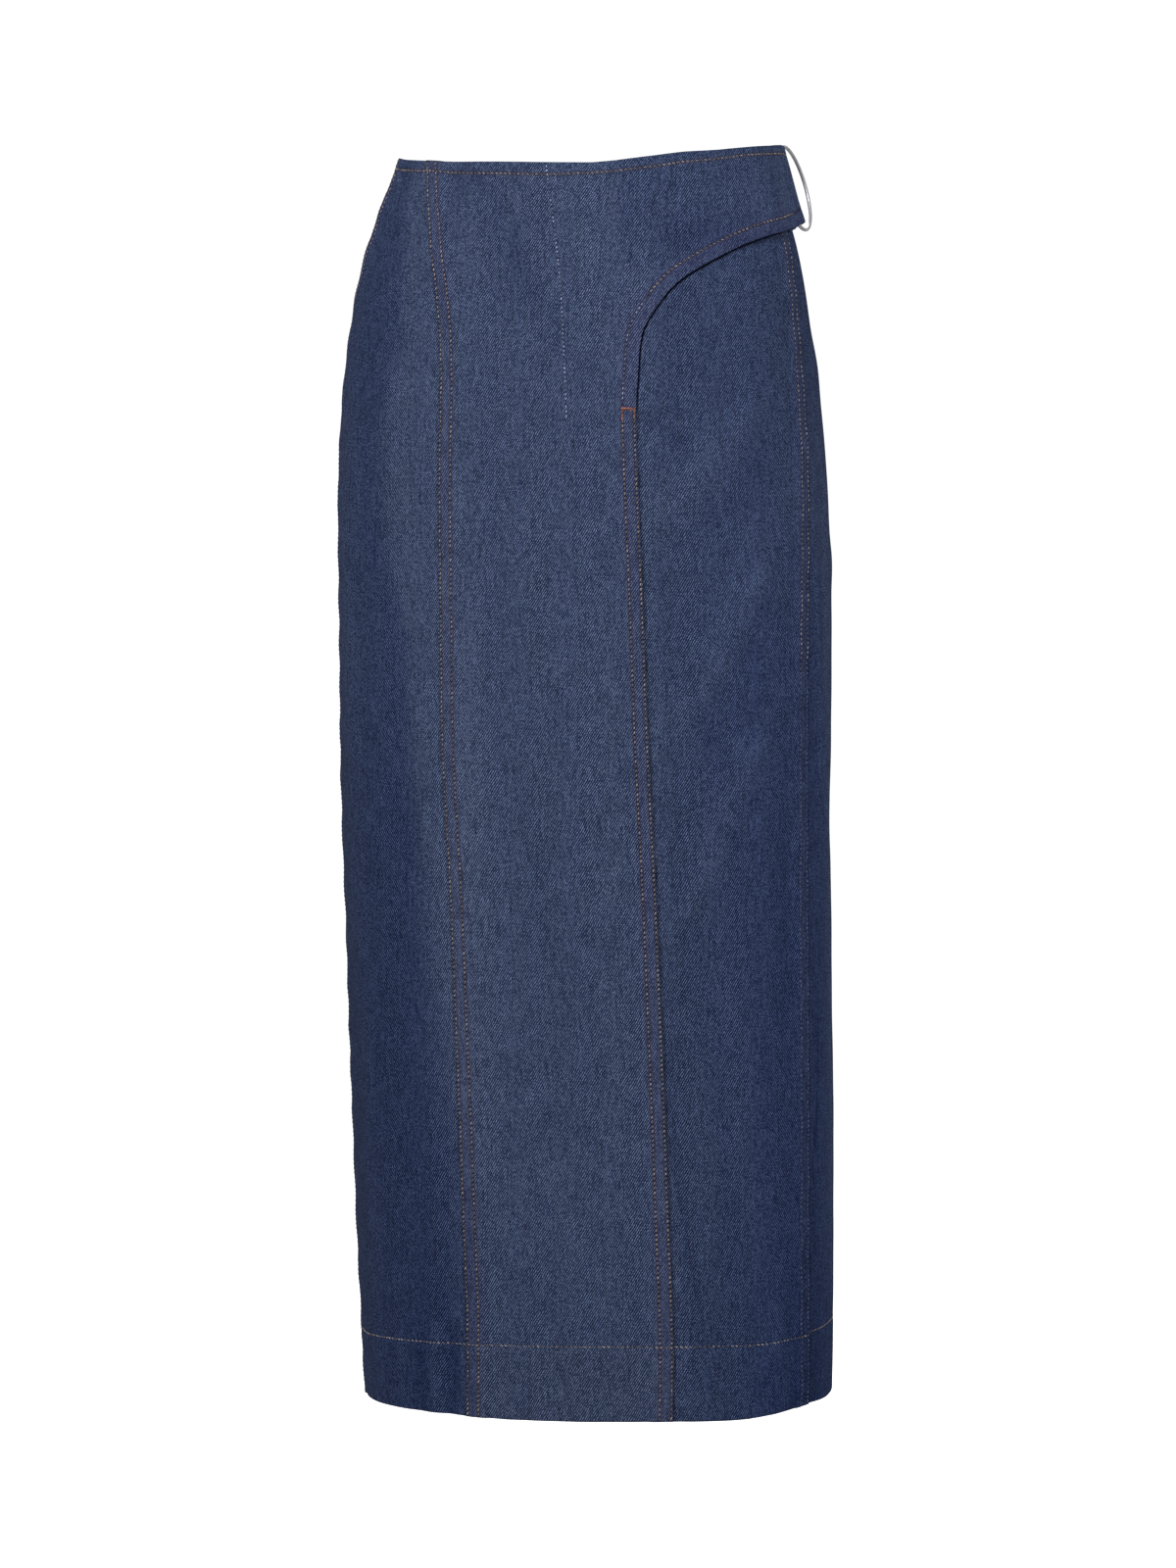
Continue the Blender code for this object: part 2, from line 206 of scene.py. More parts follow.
# soft ridges (+) and troughs (-)
CREASE = 1.6
FOLDS = [
    # s0, z0, s1, z1, half width, height
    (165, -151, 66, -252, 12, 1.6),
    (160, -258, 77, -394, 13, 1.7),
    (153, -376, 98, -497, 11, 1.6),
    (104, -478, 68, -533, 8, 1.1),
    (128, -228, 96, -262, 10, -0.8),
    (76, -168, 103, -197, 8, -0.9),
    (73, -540, 86, -782, 4.5, -0.8),
    (118, -520, 122, -700, 13, 0.5),
    (168, -430, 160, -600, 10, -0.9),
    (150, -600, 140, -790, 12, -0.7),
    (-39, -14, -1, -106, 9, -1.0),
    (-48, -60, -19, -114, 7, -0.7),
    (-58, -20, -44, -92, 8, 0.7),
    (30, -40, 44, -120, 11, 0.6),
    (-60, -270, -54, -640, 17, 0.9),
    (-33, -180, -29, -380, 10, -0.6),
    (-10, -420, 2, -640, 20, -0.5),
    (-14, -676, 12, -790, 10, 0.5),
    (40, -300, 34, -520, 16, 0.5),
    (-100, -340, -79, -420, 9, 1.0),
    (-112, -420, -88, -500, 10, -0.7),
    (-135, -2, -123, -24, 3.0, 0.8),
    (-140, -120, -118, -300, 12, -0.8),
    (-100, -560, -94, -760, 9, 0.6),
    (-110, -778, -112, -856, 5, -0.8),
    (-98, -782, -99, -858, 5, 0.8),
    (-86, -772, -87, -858, 4.5, -1.1),
    (-62, -786, -65, -858, 8, 0.7),
    (-34, -780, -34, -858, 7, -0.6),
    (8, -790, 10, -858, 9, 0.5),
    (104, -786, 102, -858, 8, -0.5),
    (140, -770, 142, -858, 9, 0.6),
    (206, -180, 214, -520, 5, 0.9),
    (222, -120, 232, -330, 10, -0.7),
    # back, plainer
    (250, -120, 330, -210, 14, 1.0),
    (270, -260, 360, -330, 15, 1.3),
    (255, -420, 330, -560, 16, -1.0),
    (380, -250, 440, -420, 16, -0.8),
    (300, -600, 350, -800, 15, 0.9),
    (400, -560, 430, -760, 14, 0.8),
    (-250, -110, -330, -190, 14, 1.1),
    (-262, -240, -350, -300, 15, 1.2),
    (-250, -400, -320, -540, 16, -1.0),
    (-380, -240, -440, -400, 16, 0.8),
    (-300, -590, -345, -790, 15, 0.9),
    (-400, -580, -425, -770, 14, -0.8),
    (-180, -200, -160, -420, 12, 0.7),
    (-190, -500, -170, -720, 12, -0.7),
    (310, -784, 312, -858, 8, 0.7),
    (390, -784, 388, -858, 8, -0.7),
    (-310, -784, -312, -858, 8, -0.7),
    (-390, -784, -388, -858, 8, 0.7),
]


# light (+) and shade (-) of the cloth that has no height to speak of
SHADES = [
    # s0, z0, s1, z1, half width, part of the tone
    (-62, -150, -62, -480, 14, 0.05),
    (-61, -400, -60, -700, 16, 0.09),
    (-58, -640, -59, -856, 12, 0.04),
    (165, -151, 66, -252, 12, 0.03),
    (160, -258, 77, -394, 13, 0.045),
    (153, -376, 98, -497, 11, 0.025),
    (150, -196, 100, -268, 8, -0.03),
    (150, -316, 108, -402, 9, -0.03),
    (73, -560, 86, -782, 2.6, -0.13),
    (-39, -14, -1, -106, 9, -0.06),
    (-60, -112, 60, -113, 2.2, 0.03),
    (-82, -790, -83, -860, 4, -0.11),
    (-95, -786, -96, -860, 5, 0.11),
    (-108, -800, -108, -860, 4, -0.05),
    (-128, -790, -129, -846, 5, 0.06),
    (-134, -3, -123, -17, 1.7, 0.24),
    (140, -804, 140, -856, 12, -0.09),
    (56, -560, 58, -850, 7, 0.04),
    (-20, -30, 10, -150, 22, -0.04),
    (100, -330, 128, -480, 9, -0.04),
    (90, -390, 118, -300, 8, -0.04),
    (88, -560, 92, -760, 8, 0.05),
    (112, -540, 116, -700, 6, 0.05),
    (96, -800, 98, -850, 9, 0.05),
    (150, -110, 150, -260, 12, -0.04),
    (-118, -60, -108, -180, 9, 0.05),
    (-104, -180, -98, -420, 9, 0.04),
    (222, -60, 232, -850, 26, 0.20),
    (-74, -12, -34, -14, 16, -0.11),
    (108, -540, 108, -800, 9, -0.05),
    (135, -560, 133, -780, 8, 0.03),
    (204, -560, 184, -708, 1.4, -0.26),
    (186, -696, 180, -760, 1.2, -0.20),
]

# ---------------------------------------------------------------- form of the skirt
def natural_spline(xs, vs):
    """Cubic through the points of a table, xs falling or rising."""
    t = np.array(xs, float)
    v = np.array(vs, float)
    if t[0] > t[-1]:
        t, v = t[::-1], v[::-1]
    n = len(t)
    h = np.diff(t)
    a = np.eye(n)
    b = np.zeros(n)
    for i in range(1, n - 1):
        a[i, i - 1], a[i, i], a[i, i + 1] = h[i - 1], 2 * (h[i - 1] + h[i]), h[i]
        b[i] = 3 * ((v[i + 1] - v[i]) / h[i] - (v[i] - v[i - 1]) / h[i - 1])
    c = np.linalg.solve(a, b)

    def value(x):
        x = np.asarray(x, float)
        k = np.clip(np.searchsorted(t, x) - 1, 0, n - 2)
        d = x - t[k]
        p = (v[k + 1] - v[k]) / h[k] - h[k] * (2 * c[k] + c[k + 1]) / 3
        q = (c[k + 1] - c[k]) / (3 * h[k])
        return v[k] + p * d + c[k] * d * d + q * d ** 3
    return value


section = [natural_spline([r[0] for r in SECTIONS], [r[k] for r in SECTIONS])
           for k in range(1, 7)]
left_side, left_front, right_front, right_side = [
    natural_spline([r[0] for r in SEAMS], [r[k] for r in SEAMS]) for k in range(1, 5)]


def round_point(ph, z):
    wide, front, back, power, turn, shift = [f(z) for f in section]
    c, sn = np.abs(np.cos(ph)), np.abs(np.sin(ph))
    deep = np.where(np.cos(ph) > 0, front, back)
    r = ((sn / wide) ** power + (c / deep) ** power) ** (-1 / power)
    x, y = r * np.sin(ph), -r * np.cos(ph)
    t = np.radians(turn)
    a = math.radians(SHIFT_ANGLE)
    return np.stack([x * np.cos(t) - y * np.sin(t) + shift * math.cos(a),
                     x * np.sin(t) + y * np.cos(t) + shift * math.sin(a),
                     z + 0 * x], -1)


LEVELS = np.arange(-870, 41, 5.0)
STEPS = 720
turns, girths = [], []
for level in LEVELS:
    ph = np.linspace(-np.pi, np.pi, 2 * STEPS + 1)
    pts = round_point(ph, np.full(len(ph), level))
    run = np.concatenate([[0], np.cumsum(np.linalg.norm(np.diff(pts, axis=0), axis=1))])
    run -= run[STEPS]
    girths.append(run[-1] - run[0])
    turns.append(np.interp(np.linspace(-0.5, 0.5, STEPS + 1) * girths[-1], run, ph))
turns = np.array(turns)
girths = np.array(girths)


def girth(z):
    return np.interp(z, LEVELS, girths)


def turn_at(s, z):
    u = (s / girth(z) + 0.5) * STEPS
    u = u - np.floor(u / STEPS) * STEPS
    i = np.clip((z - LEVELS[0]) / 5.0, 0, len(LEVELS) - 1.001)
    k, j = i.astype(int), np.clip(u, 0, STEPS - 0.001).astype(int)
    fz, fu = i - k, u - j
    low = turns[k, j] * (1 - fu) + turns[k, j + 1] * fu
    high = turns[k + 1, j] * (1 - fu) + turns[k + 1, j + 1] * fu
    return low * (1 - fz) + high * fz


def skin(s, z, out=0.0):
    """Points at (s, z), moved out from the plain outer face."""
    s, z, out = np.broadcast_arrays(np.asarray(s, float), np.asarray(z, float),
                                    np.asarray(out, float))
    ph = turn_at(s, z)
    p = round_point(ph, z)
    e = 1e-3
    across = round_point(ph + e, z) - round_point(ph - e, z)
    up = round_point(ph, z + 0.5) - round_point(ph, z - 0.5)
    n = np.cross(across, up)
    n /= np.linalg.norm(n, axis=-1)[..., None]
    return p + out[..., None] * n


def quarter(z):
    return girth(z) * 0.25


def flap_face(s, z):
    """Outer face of the flap: on the panels first, then hanging flat."""
    s, z = np.broadcast_arrays(np.asarray(s, float), np.asarray(z, float))
    side = quarter(z) + 2.0
    swell = FLAP_SWELL * np.clip((s - 66) / (side - 66), 0, 1)
    near = skin(np.minimum(s, side), z, RAISED + swell)
    along = skin(side + 0.5, z) - skin(side - 0.5, z)
    along[..., 2] = 0
    along /= np.linalg.norm(along, axis=-1)[..., None]
    near = near + along * np.maximum(s - side, 0)[..., None]
    y = s - quarter(z)
    flat = np.stack([HANG_X + HANG_LEAN * (HANG_Z - z) - HANG_IN * (y - HANG_Y),
                     y, z + 0 * y], -1)
    t = np.clip((y - HANG_FROM - 2) / HANG_OVER, 0, 1)
    w = (t ** 3 * (t * (6 * t - 15) + 10))[..., None]
    return near * (1 - w) + flat * w


def flap(s, z, out=0.0):
    s, z, out = np.broadcast_arrays(np.asarray(s, float), np.asarray(z, float),
                                    np.asarray(out, float))
    n = np.cross(flap_face(s + 0.2, z) - flap_face(s - 0.2, z),
                 flap_face(s, z + 0.5) - flap_face(s, z - 0.5))
    n /= np.linalg.norm(n, axis=-1)[..., None]
    return flap_face(s, z) + out[..., None] * n


def smooth(t):
    t = np.clip(t, 0, 1)
    return t * t * (3 - 2 * t)


def bell(x):
    return np.exp(-np.square(x))


def lift_at(s, column):
    return np.interp(s, [r[0] for r in WAIST], [r[column] for r in WAIST])


def lifted(z, s, column):
    return z + lift_at(s, column) * np.clip(1 + z / RISE_FADE, 0, 1) + hem_lift(s, z)


def hem_row(s):
    return np.interp(s, [r[0] for r in HEM_ROWS], [r[1] for r in HEM_ROWS])


def hem_lift(s, z):
    """How far a place near the hem is drawn up."""
    high = np.interp(s, [r[0] for r in HEM_LIFT], [r[1] for r in HEM_LIFT])
    return high * np.clip((-806 - z) / 44, 0, 1)


# ---------------------------------------------------------------- creases
def lines(table, s, z):
    """Soft ridges along the lines of a table, summed at (s, z)."""
    total = np.zeros(np.broadcast(s, z).shape)
    g = girth(z)
    for s0, z0, s1, z1, half, high in table:
        ds = (s - s0 + g / 2) % g - g / 2
        dz = z - z0
        lx, lz = s1 - s0, z1 - z0
        length = math.hypot(lx, lz)
        t = (ds * lx + dz * lz) / length ** 2
        d = (ds * lz - dz * lx) / length
        # a little bow and an uneven flank
        d = d + 0.04 * length * (4 * t * (1 - t) - 0.5) * (1 if (s0 + z0) % 2 < 1 else -1)
        wide = half * np.where(d > 0, 1.2, 0.85)
        ends = smooth((t + 0.12) / 0.4) * smooth((1.12 - t) / 0.4)
        total += high * bell(d / wide) * ends
    return total


def folds(s, z):
    """Height of the soft creases at (s, z)."""
    total = CREASE * lines(FOLDS, s, z)
    # faint unevenness of cloth that stands by itself
    total += 0.22 * np.sin(s / 17.0 + 1.3 * np.sin(z / 61.0)) * np.sin(z / 43.0 + s / 39.0)
    total += 0.10 * np.sin(s / 6.1 + z / 23.0) * np.sin(z / 9.7 - s / 13.0 + 0.6)
    return total


# the shaded left side: how far round it reaches, how softly, how dark
LEFT_SHADE = [
    # z, s of its edge, half width of the edge, part of the tone
    (0, -112, 8, 0.16), (-60, -109, 8, 0.22), (-120, -104, 10, 0.24), (-180, -119, 15, 0.19),
    (-240, -124, 13, 0.19), (-340, -94, 13, 0.20), (-440, -98, 13, 0.27), (-550, -91, 17, 0.29),
    (-660, -80, 21, 0.32), (-760, -74, 26, 0.29), (-850, -76, 24, 0.26),
]


def tone(s, z):
    """Painted light and shade on the cloth by place, and how deep its blue is there."""
    down = [-r[0] for r in LEFT_SHADE]
    edge, soft, dark = [np.interp(-z, down, [r[k] for r in LEFT_SHADE]) for k in (1, 2, 3)]
    hidden = 1 - smooth((np.abs(s) - 215) / 60)
    left = smooth((edge - s + soft) / (2 * soft)) * hidden
    right = smooth((s - 66) / 24) * smooth((-z - 20) / 40) * hidden
    far = smooth((s - 146) / 16) * (1 - smooth((s - 188) / 14)) * hidden
    # painted shade on the left side, a little lighter towards its far rim
    total = 1 - left * (dark - 0.05 * smooth((-s - 138) / 14) - 0.04 * smooth((-s - 190) / 16))
    # painted shade on the right side, below the waist
    total = total - right * np.interp(-z, [100, 180, 235, 290, 450, 600, 850],
                                      [0.15, 0.13, 0.07, 0.12, 0.14, 0.17, 0.14])
    # painted shade by the right side seam, deepest near the hem
    total = total - far * np.interp(-z, [300, 600, 720, 850], [0.0, 0.03, 0.09, 0.16])
    # darker towards the hem: painted shade
    total = total - 0.07 * smooth((-z - 700) / 120)
    # painted light on the ridges of the creases, painted shade in their troughs, and the painted light
    # and shade of SHADES
    total = total + 0.055 * (folds(s, z) / CREASE) + lines(SHADES, s, z)
    # the painted shade is a deeper blue, on both sides and past the right side seam
    deep = total - 0.08 * left - (0.04 + 0.16 * smooth((-z - 120) / 260)) * hidden * smooth((s - 90) / 55)
    deep = deep - 0.10 * smooth((s - 184) / 14) * hidden
    deep = deep + 0.13 * smooth((hem_row(s) + 2 - z) / 4) * smooth((70 - np.abs(s)) / 8)
    return total, np.clip(deep, 0.3, 1.3)


def pucker(d, along, seed):
    """Waves that the stitching draws across a seam, d in from its fold edge."""
    wave = (np.sin(along / 2.05 + 1.7 * np.sin(along / 19.0 + seed) + 0.10 * d)
            * (0.55 + 0.45 * np.sin(along / 31.0 + 2.1 * seed)))
    slow = np.sin(along / 5.3 + 1.1 * np.sin(along / 41.0 + 2 * seed) + 0.06 * d)
    near = bell((d - 5.3) / 6.0)
    wide = bell((d - 5.3) / 13.0)
    return 0.12 * wave * near + 0.34 * slow * wide


def lap_height(d):
    """Outer face of an edge that lies on its neighbour, d in from the fold."""
    h = RAISED * (1 - smooth((d - 10.6) / 6.4))
    h = h - 0.20 * bell((d - STITCH_OUT) / 0.75) - 0.22 * bell((d - STITCH_IN) / 0.75)
    return h + 0.12 * bell((d - 5.3) / 2.6)


def shell_half(e, half):
    """Half thickness at e from a rounded edge."""
    t = np.clip(e, 0, half) / half
    return half * np.sqrt(np.clip(1 - (1 - t) ** 2, 0, 1))


def thickness(s, z):
    return CLOTH + 1.45 * smooth((hem_row(s) - 1.0 - z) / 2.5)


# ---------------------------------------------------------------- mesh from grids
def cloth_mesh(name, outer, inner, maps, material):
    """Closed shell from two grids; where they meet at an edge the points are shared."""
    rows, cols = outer.shape[:2]
    count = rows * cols
    verts = np.concatenate([outer.reshape(-1, 3), inner.reshape(-1, 3)]) * MM
    ids_out = np.arange(count).reshape(rows, cols)
    ids_in = ids_out + count
    same = np.linalg.norm(outer - inner, axis=-1) < 1e-6
    ids_in = np.where(same, ids_out, ids_in)

    def quads(i):
        return np.stack([i[:-1, :-1], i[1:, :-1], i[1:, 1:], i[:-1, 1:]], -1).reshape(-1, 4)
    faces = [quads(ids_out), quads(ids_in)[:, ::-1]]
    o, i = ids_out, ids_in
    for a, b in ((o[0], i[0]), (o[-1][::-1], i[-1][::-1]),
                 (o[::-1, 0], i[::-1, 0]), (o[:, -1], i[:, -1])):
        open_edge = (a[:-1] != b[:-1]) | (a[1:] != b[1:])
        rim = np.stack([a[:-1], a[1:], b[1:], b[:-1]], -1)[open_edge]
        if len(rim):
            faces.append(rim)
    faces = np.concatenate(faces)
    clean = []
    for f in faces.tolist():
        g = [v for k, v in enumerate(f) if v != f[k - 1]]
        if len(set(g)) >= 3:
            clean.append(g)
    used = np.unique(np.concatenate([np.array(f) for f in clean]))
    remap = np.full(len(verts), -1)
    remap[used] = np.arange(len(used))
    clean = [[int(remap[v]) for v in f] for f in clean]
    mesh = bpy.data.meshes.new(name)
    mesh.from_pydata(verts[used].tolist(), [], clean)
    loops = np.empty(len(mesh.loops), dtype=np.int32)
    mesh.loops.foreach_get("vertex_index", loops)
    for key, (a, b) in maps.items():
        flat = np.stack([np.concatenate([a.ravel(), a.ravel()]),
                         np.concatenate([b.ravel(), b.ravel()])], -1)[used]
        layer = mesh.uv_layers.new(name=key)
        layer.data.foreach_set("uv", flat[loops].astype(np.float32).ravel())
    mesh.shade_smooth()
    mesh.validate()
    mesh.update()
    obj = bpy.data.objects.new(name, mesh)
    bpy.context.scene.collection.objects.link(obj)
    mesh.materials.append(material)
    return obj


def plain_mesh(name, verts, faces, material, strand=None):
    mesh = bpy.data.meshes.new(name)
    mesh.from_pydata([tuple(v) for v in verts], [], faces)
    if strand is not None:
        loops = np.empty(len(mesh.loops), dtype=np.int32)
        mesh.loops.foreach_get("vertex_index", loops)
        layer = mesh.uv_layers.new(name="strand")
        layer.data.foreach_set("uv", strand[loops].astype(np.float32).ravel())
    mesh.shade_smooth()
    mesh.update()
    obj = bpy.data.objects.new(name, mesh)
    bpy.context.scene.collection.objects.link(obj)
    mesh.materials.append(material)
    return obj


# ---------------------------------------------------------------- materials
class Nodes:
    """Short names for building a node tree."""

    def __init__(self, name):
        self.mat = bpy.data.materials.new(name)
        self.mat.use_nodes = True
        self.tree = self.mat.node_tree
        self.shader = self.tree.nodes["Principled BSDF"]

    def put(self, socket, value):
        if isinstance(value, bpy.types.NodeSocket):
            self.tree.links.new(value, socket)
        else:
            socket.default_value = value

    def node(self, kind, settings=None, **inputs):
        n = self.tree.nodes.new(kind)
        for key, value in (settings or {}).items():
            setattr(n, key, value)
        for key, value in inputs.items():
            self.put(n.inputs[key.replace("_", " ")], value)
        return n

    def math(self, op, a, b=None, c=None, clamp=False):
        n = self.tree.nodes.new("ShaderNodeMath")
        n.operation = op
        n.use_clamp = clamp
        for k, value in enumerate((a, b, c)):
            if value is not None:
                self.put(n.inputs[k], value)
        return n.outputs[0]

    def mul(self, a, b):
        return self.math("MULTIPLY", a, b)

    def add(self, a, b):
        return self.math("ADD", a, b)

    def sub(self, a, b):
        return self.math("SUBTRACT", a, b)

    def vec(self, x, y, z=0.0):
        n = self.tree.nodes.new("ShaderNodeCombineXYZ")
        for k, value in enumerate((x, y, z)):
            self.put(n.inputs[k], value)
        return n.outputs[0]

    def noise(self, vector, scale, detail=2.0, rough=0.5):
        n = self.tree.nodes.new("ShaderNodeTexNoise")
        self.put(n.inputs["Vector"], vector)
        n.inputs["Scale"].default_value = scale
        n.inputs["Detail"].default_value = detail
        n.inputs["Roughness"].default_value = rough
        return n.outputs["Fac"]

    def white(self, vector):
        n = self.tree.nodes.new("ShaderNodeTexWhiteNoise")
        n.noise_dimensions = "3D"
        self.put(n.inputs["Vector"], vector)
        return n.outputs["Value"]

    def ramp(self, value, a, b, lo=0.0, hi=1.0):
        n = self.tree.nodes.new("ShaderNodeMapRange")
        n.interpolation_type = "SMOOTHSTEP"
        n.clamp = True
        self.put(n.inputs["Value"], value)
        n.inputs["From Min"].default_value = a
        n.inputs["From Max"].default_value = b
        n.inputs["To Min"].default_value = lo
        n.inputs["To Max"].default_value = hi
        return n.outputs["Result"]

    def mix(self, fac, a, b):
        n = self.tree.nodes.new("ShaderNodeMix")
        n.data_type = "RGBA"
        self.put(n.inputs[0], fac)
        self.put(n.inputs[6], a)
        self.put(n.inputs[7], b)
        return n.outputs[2]

    def scale_colour(self, colour, by):
        n = self.tree.nodes.new("ShaderNodeVectorMath")
        n.operation = "SCALE"
        self.put(n.inputs[0], colour if isinstance(colour, bpy.types.NodeSocket) else colour[:3])
        self.put(n.inputs["Scale"], by)
        return n.outputs[0]

    def times(self, a, b):
        n = self.tree.nodes.new("ShaderNodeVectorMath")
        n.operation = "MULTIPLY"
        self.put(n.inputs[0], a)
        self.put(n.inputs[1], b)
        return n.outputs[0]

    def uv(self, name):
        n = self.tree.nodes.new("ShaderNodeUVMap")
        n.uv_map = name
        s = self.tree.nodes.new("ShaderNodeSeparateXYZ")
        self.tree.links.new(n.outputs[0], s.inputs[0])
        return s.outputs[0], s.outputs[1]


WARP = 0.41            # spacing of the warp yarns
WEFT = 0.655           # spacing of the weft
DARK = (0.0090, 0.0172, 0.0530, 1.0)
PALE = (0.245, 0.312, 0.500, 1.0)


def denim(name):
    """Right-hand twill: indigo warp with the pale weft showing between."""
    g = Nodes(name)
    u0, v0 = g.uv("cloth")
    flat = g.vec(u0, v0)
    wander = g.noise(flat, 0.11, 2.0)
    jitter = g.noise(flat, 0.9, 1.0)
    u = g.add(u0, g.add(g.mul(g.sub(wander, 0.5), 1.6), g.mul(g.sub(jitter, 0.5), 0.22)))
    v = g.add(v0, g.mul(g.sub(jitter, 0.5), 0.30))
    cu = g.math("DIVIDE", u, WARP)
    cv = g.math("DIVIDE", v, WEFT)
    i = g.math("FLOOR", cu)
    j = g.math("FLOOR", cv)
    fu = g.math("FRACT", cu)
    fv = g.math("FRACT", cv)
    step = g.math("FLOORED_MODULO", g.sub(i, j), 4.0)
    first = g.math("LESS_THAN", step, 0.5)
    second = g.mul(g.math("LESS_THAN", step, 1.5), 0.34)
    shows = g.math("MAXIMUM", first, second)
    hump = g.mul(g.math("SINE", g.mul(fu, math.pi)), g.math("SINE", g.mul(fv, math.pi)))
    hump = g.math("POWER", g.math("MAXIMUM", hump, 0.0), 0.45)
    rnd = g.white(g.vec(i, j))
    fleck = g.mul(g.mul(shows, hump), g.add(0.36, g.mul(g.mul(rnd, rnd), 1.95)))
    # yarns: each warp end has its own depth of blue, with slubs along it
    yarn = g.white(g.vec(i, 3.7))
    slub = g.noise(g.vec(g.mul(u, 1.1), g.mul(v, 0.055)), 1.0, 3.0, 0.6)
    weft_slub = g.noise(g.vec(g.mul(u, 0.05), g.mul(v, 0.9)), 1.0, 2.0, 0.6)
    grain = g.noise(flat, 0.85, 3.0, 0.7)
    cloud = g.noise(flat, 0.045, 3.0, 0.55)
    depth = g.add(0.22, g.mul(yarn, 0.60))
    depth = g.add(depth, g.mul(slub, 0.95))
    fleck = g.mul(fleck, g.add(0.58, g.mul(weft_slub, 0.84)))
    fleck = g.mul(fleck, g.ramp(slub, 0.30, 0.70, 0.60, 1.40))
    streak = g.noise(g.vec(g.mul(u, 0.34), g.mul(v, 0.024)), 1.0, 2.0, 0.6)
    fleck = g.mul(fleck, g.ramp(streak, 0.30, 0.70, 0.90, 1.10))
    fleck = g.mul(fleck, g.ramp(grain, 0.28, 0.72, 0.88, 1.12))
    fleck = g.math("MINIMUM", fleck, 1.0)
    dark = g.scale_colour(DARK, depth)
    colour = g.mix(fleck, dark, PALE)
    colour = g.scale_colour(colour, g.ramp(cloud, 0.3, 0.7, 0.95, 1.05))
    # painted light and shade from the tone map: the painted shade is a deeper blue as well as darker
    light, deep = g.uv("tone")
    painted_shading = g.vec(g.mul(light, g.math("POWER", deep, 0.62)), g.mul(light, g.math("POWER", deep, 0.42)),
                 light)
    colour = g.times(colour, painted_shading)
    # seams: painted shade in the needle holes, a dark brownish band along each row, a violet tint between
    # the rows, and a painted shadow beside an edge that lies over the cloth
    along, d = g.uv("seam")
    near_out = g.ramp(g.math("ABSOLUTE", g.sub(d, STITCH_OUT)), 0.25, 1.15, 1.0, 0.0)
    near_in = g.ramp(g.math("ABSOLUTE", g.sub(d, STITCH_IN)), 0.25, 1.15, 1.0, 0.0)
    row = g.math("MAXIMUM", near_out, near_in)
    beat = g.math("ABSOLUTE", g.sub(g.math("FRACT", g.math("DIVIDE", along, PITCH)), 0.5))
    hole = g.mul(row, g.ramp(beat, 0.25, 0.44, 0.0, 1.0))
    rows = g.math("MAXIMUM", g.ramp(g.math("ABSOLUTE", g.sub(d, STITCH_OUT)), 0.6, 1.9, 1.0, 0.0),
                  g.ramp(g.math("ABSOLUTE", g.sub(d, STITCH_IN)), 0.6, 1.9, 1.0, 0.0))
    colour = g.mix(g.mul(rows, 0.50), colour, (0.030, 0.027, 0.042, 1))
    under_waist, off = g.uv("row")
    waist = g.ramp(g.math("ABSOLUTE", under_waist), 0.7, 2.2, 1.0, 0.0)
    colour = g.mix(g.mul(waist, 0.50), colour, (0.036, 0.030, 0.042, 1))
    between = g.mul(g.ramp(d, 1.0, 4.0), g.ramp(d, 8.0, 16.0, 1.0, 0.0))
    colour = g.mix(g.mul(between, 0.16), colour, (0.062, 0.052, 0.125, 1))
    # painted shade in the needle holes
    shade = g.sub(1.0, g.mul(hole, 0.60))
    # painted shadow on the cloth beside an edge that lies over it, as dark as the map's second value
    out, dark = g.uv("shade")
    beside = g.mul(g.ramp(out, 1.1, 2.7, 1.0, 0.0), g.ramp(out, -0.6, -0.1))
    shade = g.mul(shade, g.sub(1.0, g.mul(beside, dark)))
    colour = g.scale_colour(colour, shade)
    # dart: painted shade along its shallow crease
    on_line = g.ramp(g.math("ABSOLUTE", off), 0.2, 1.0, 1.0, 0.0)
    colour = g.scale_colour(colour, g.sub(1.0, g.mul(on_line, 0.38)))
    g.put(g.shader.inputs["Base Color"], colour)
    # relief: diagonal ribs, yarns, and the dimples of the stitching
    phase = g.mul(g.sub(cu, cv), math.pi / 2)
    rib = g.math("COSINE", phase)
    thread = g.math("SINE", g.mul(fu, math.pi))
    relief = g.add(g.mul(rib, 0.5), g.mul(thread, 0.35))
    relief = g.add(relief, g.mul(grain, 1.1))
    relief = g.sub(relief, g.mul(on_line, 2.0))
    relief = g.sub(relief, g.mul(hole, 3.0))
    bump = g.node("ShaderNodeBump", Height=relief)
    bump.inputs["Strength"].default_value = 0.55
    bump.inputs["Distance"].default_value = 0.00016
    g.put(g.shader.inputs["Normal"], bump.outputs[0])
    g.shader.inputs["Roughness"].default_value = 0.88
    g.shader.inputs["Specular IOR Level"].default_value = 0.0
    g.shader.inputs["Sheen Weight"].default_value = 0.03
    g.shader.inputs["Sheen Roughness"].default_value = 0.5
    g.shader.inputs["Sheen Tint"].default_value = (0.55, 0.62, 0.85, 1.0)
    return g.mat


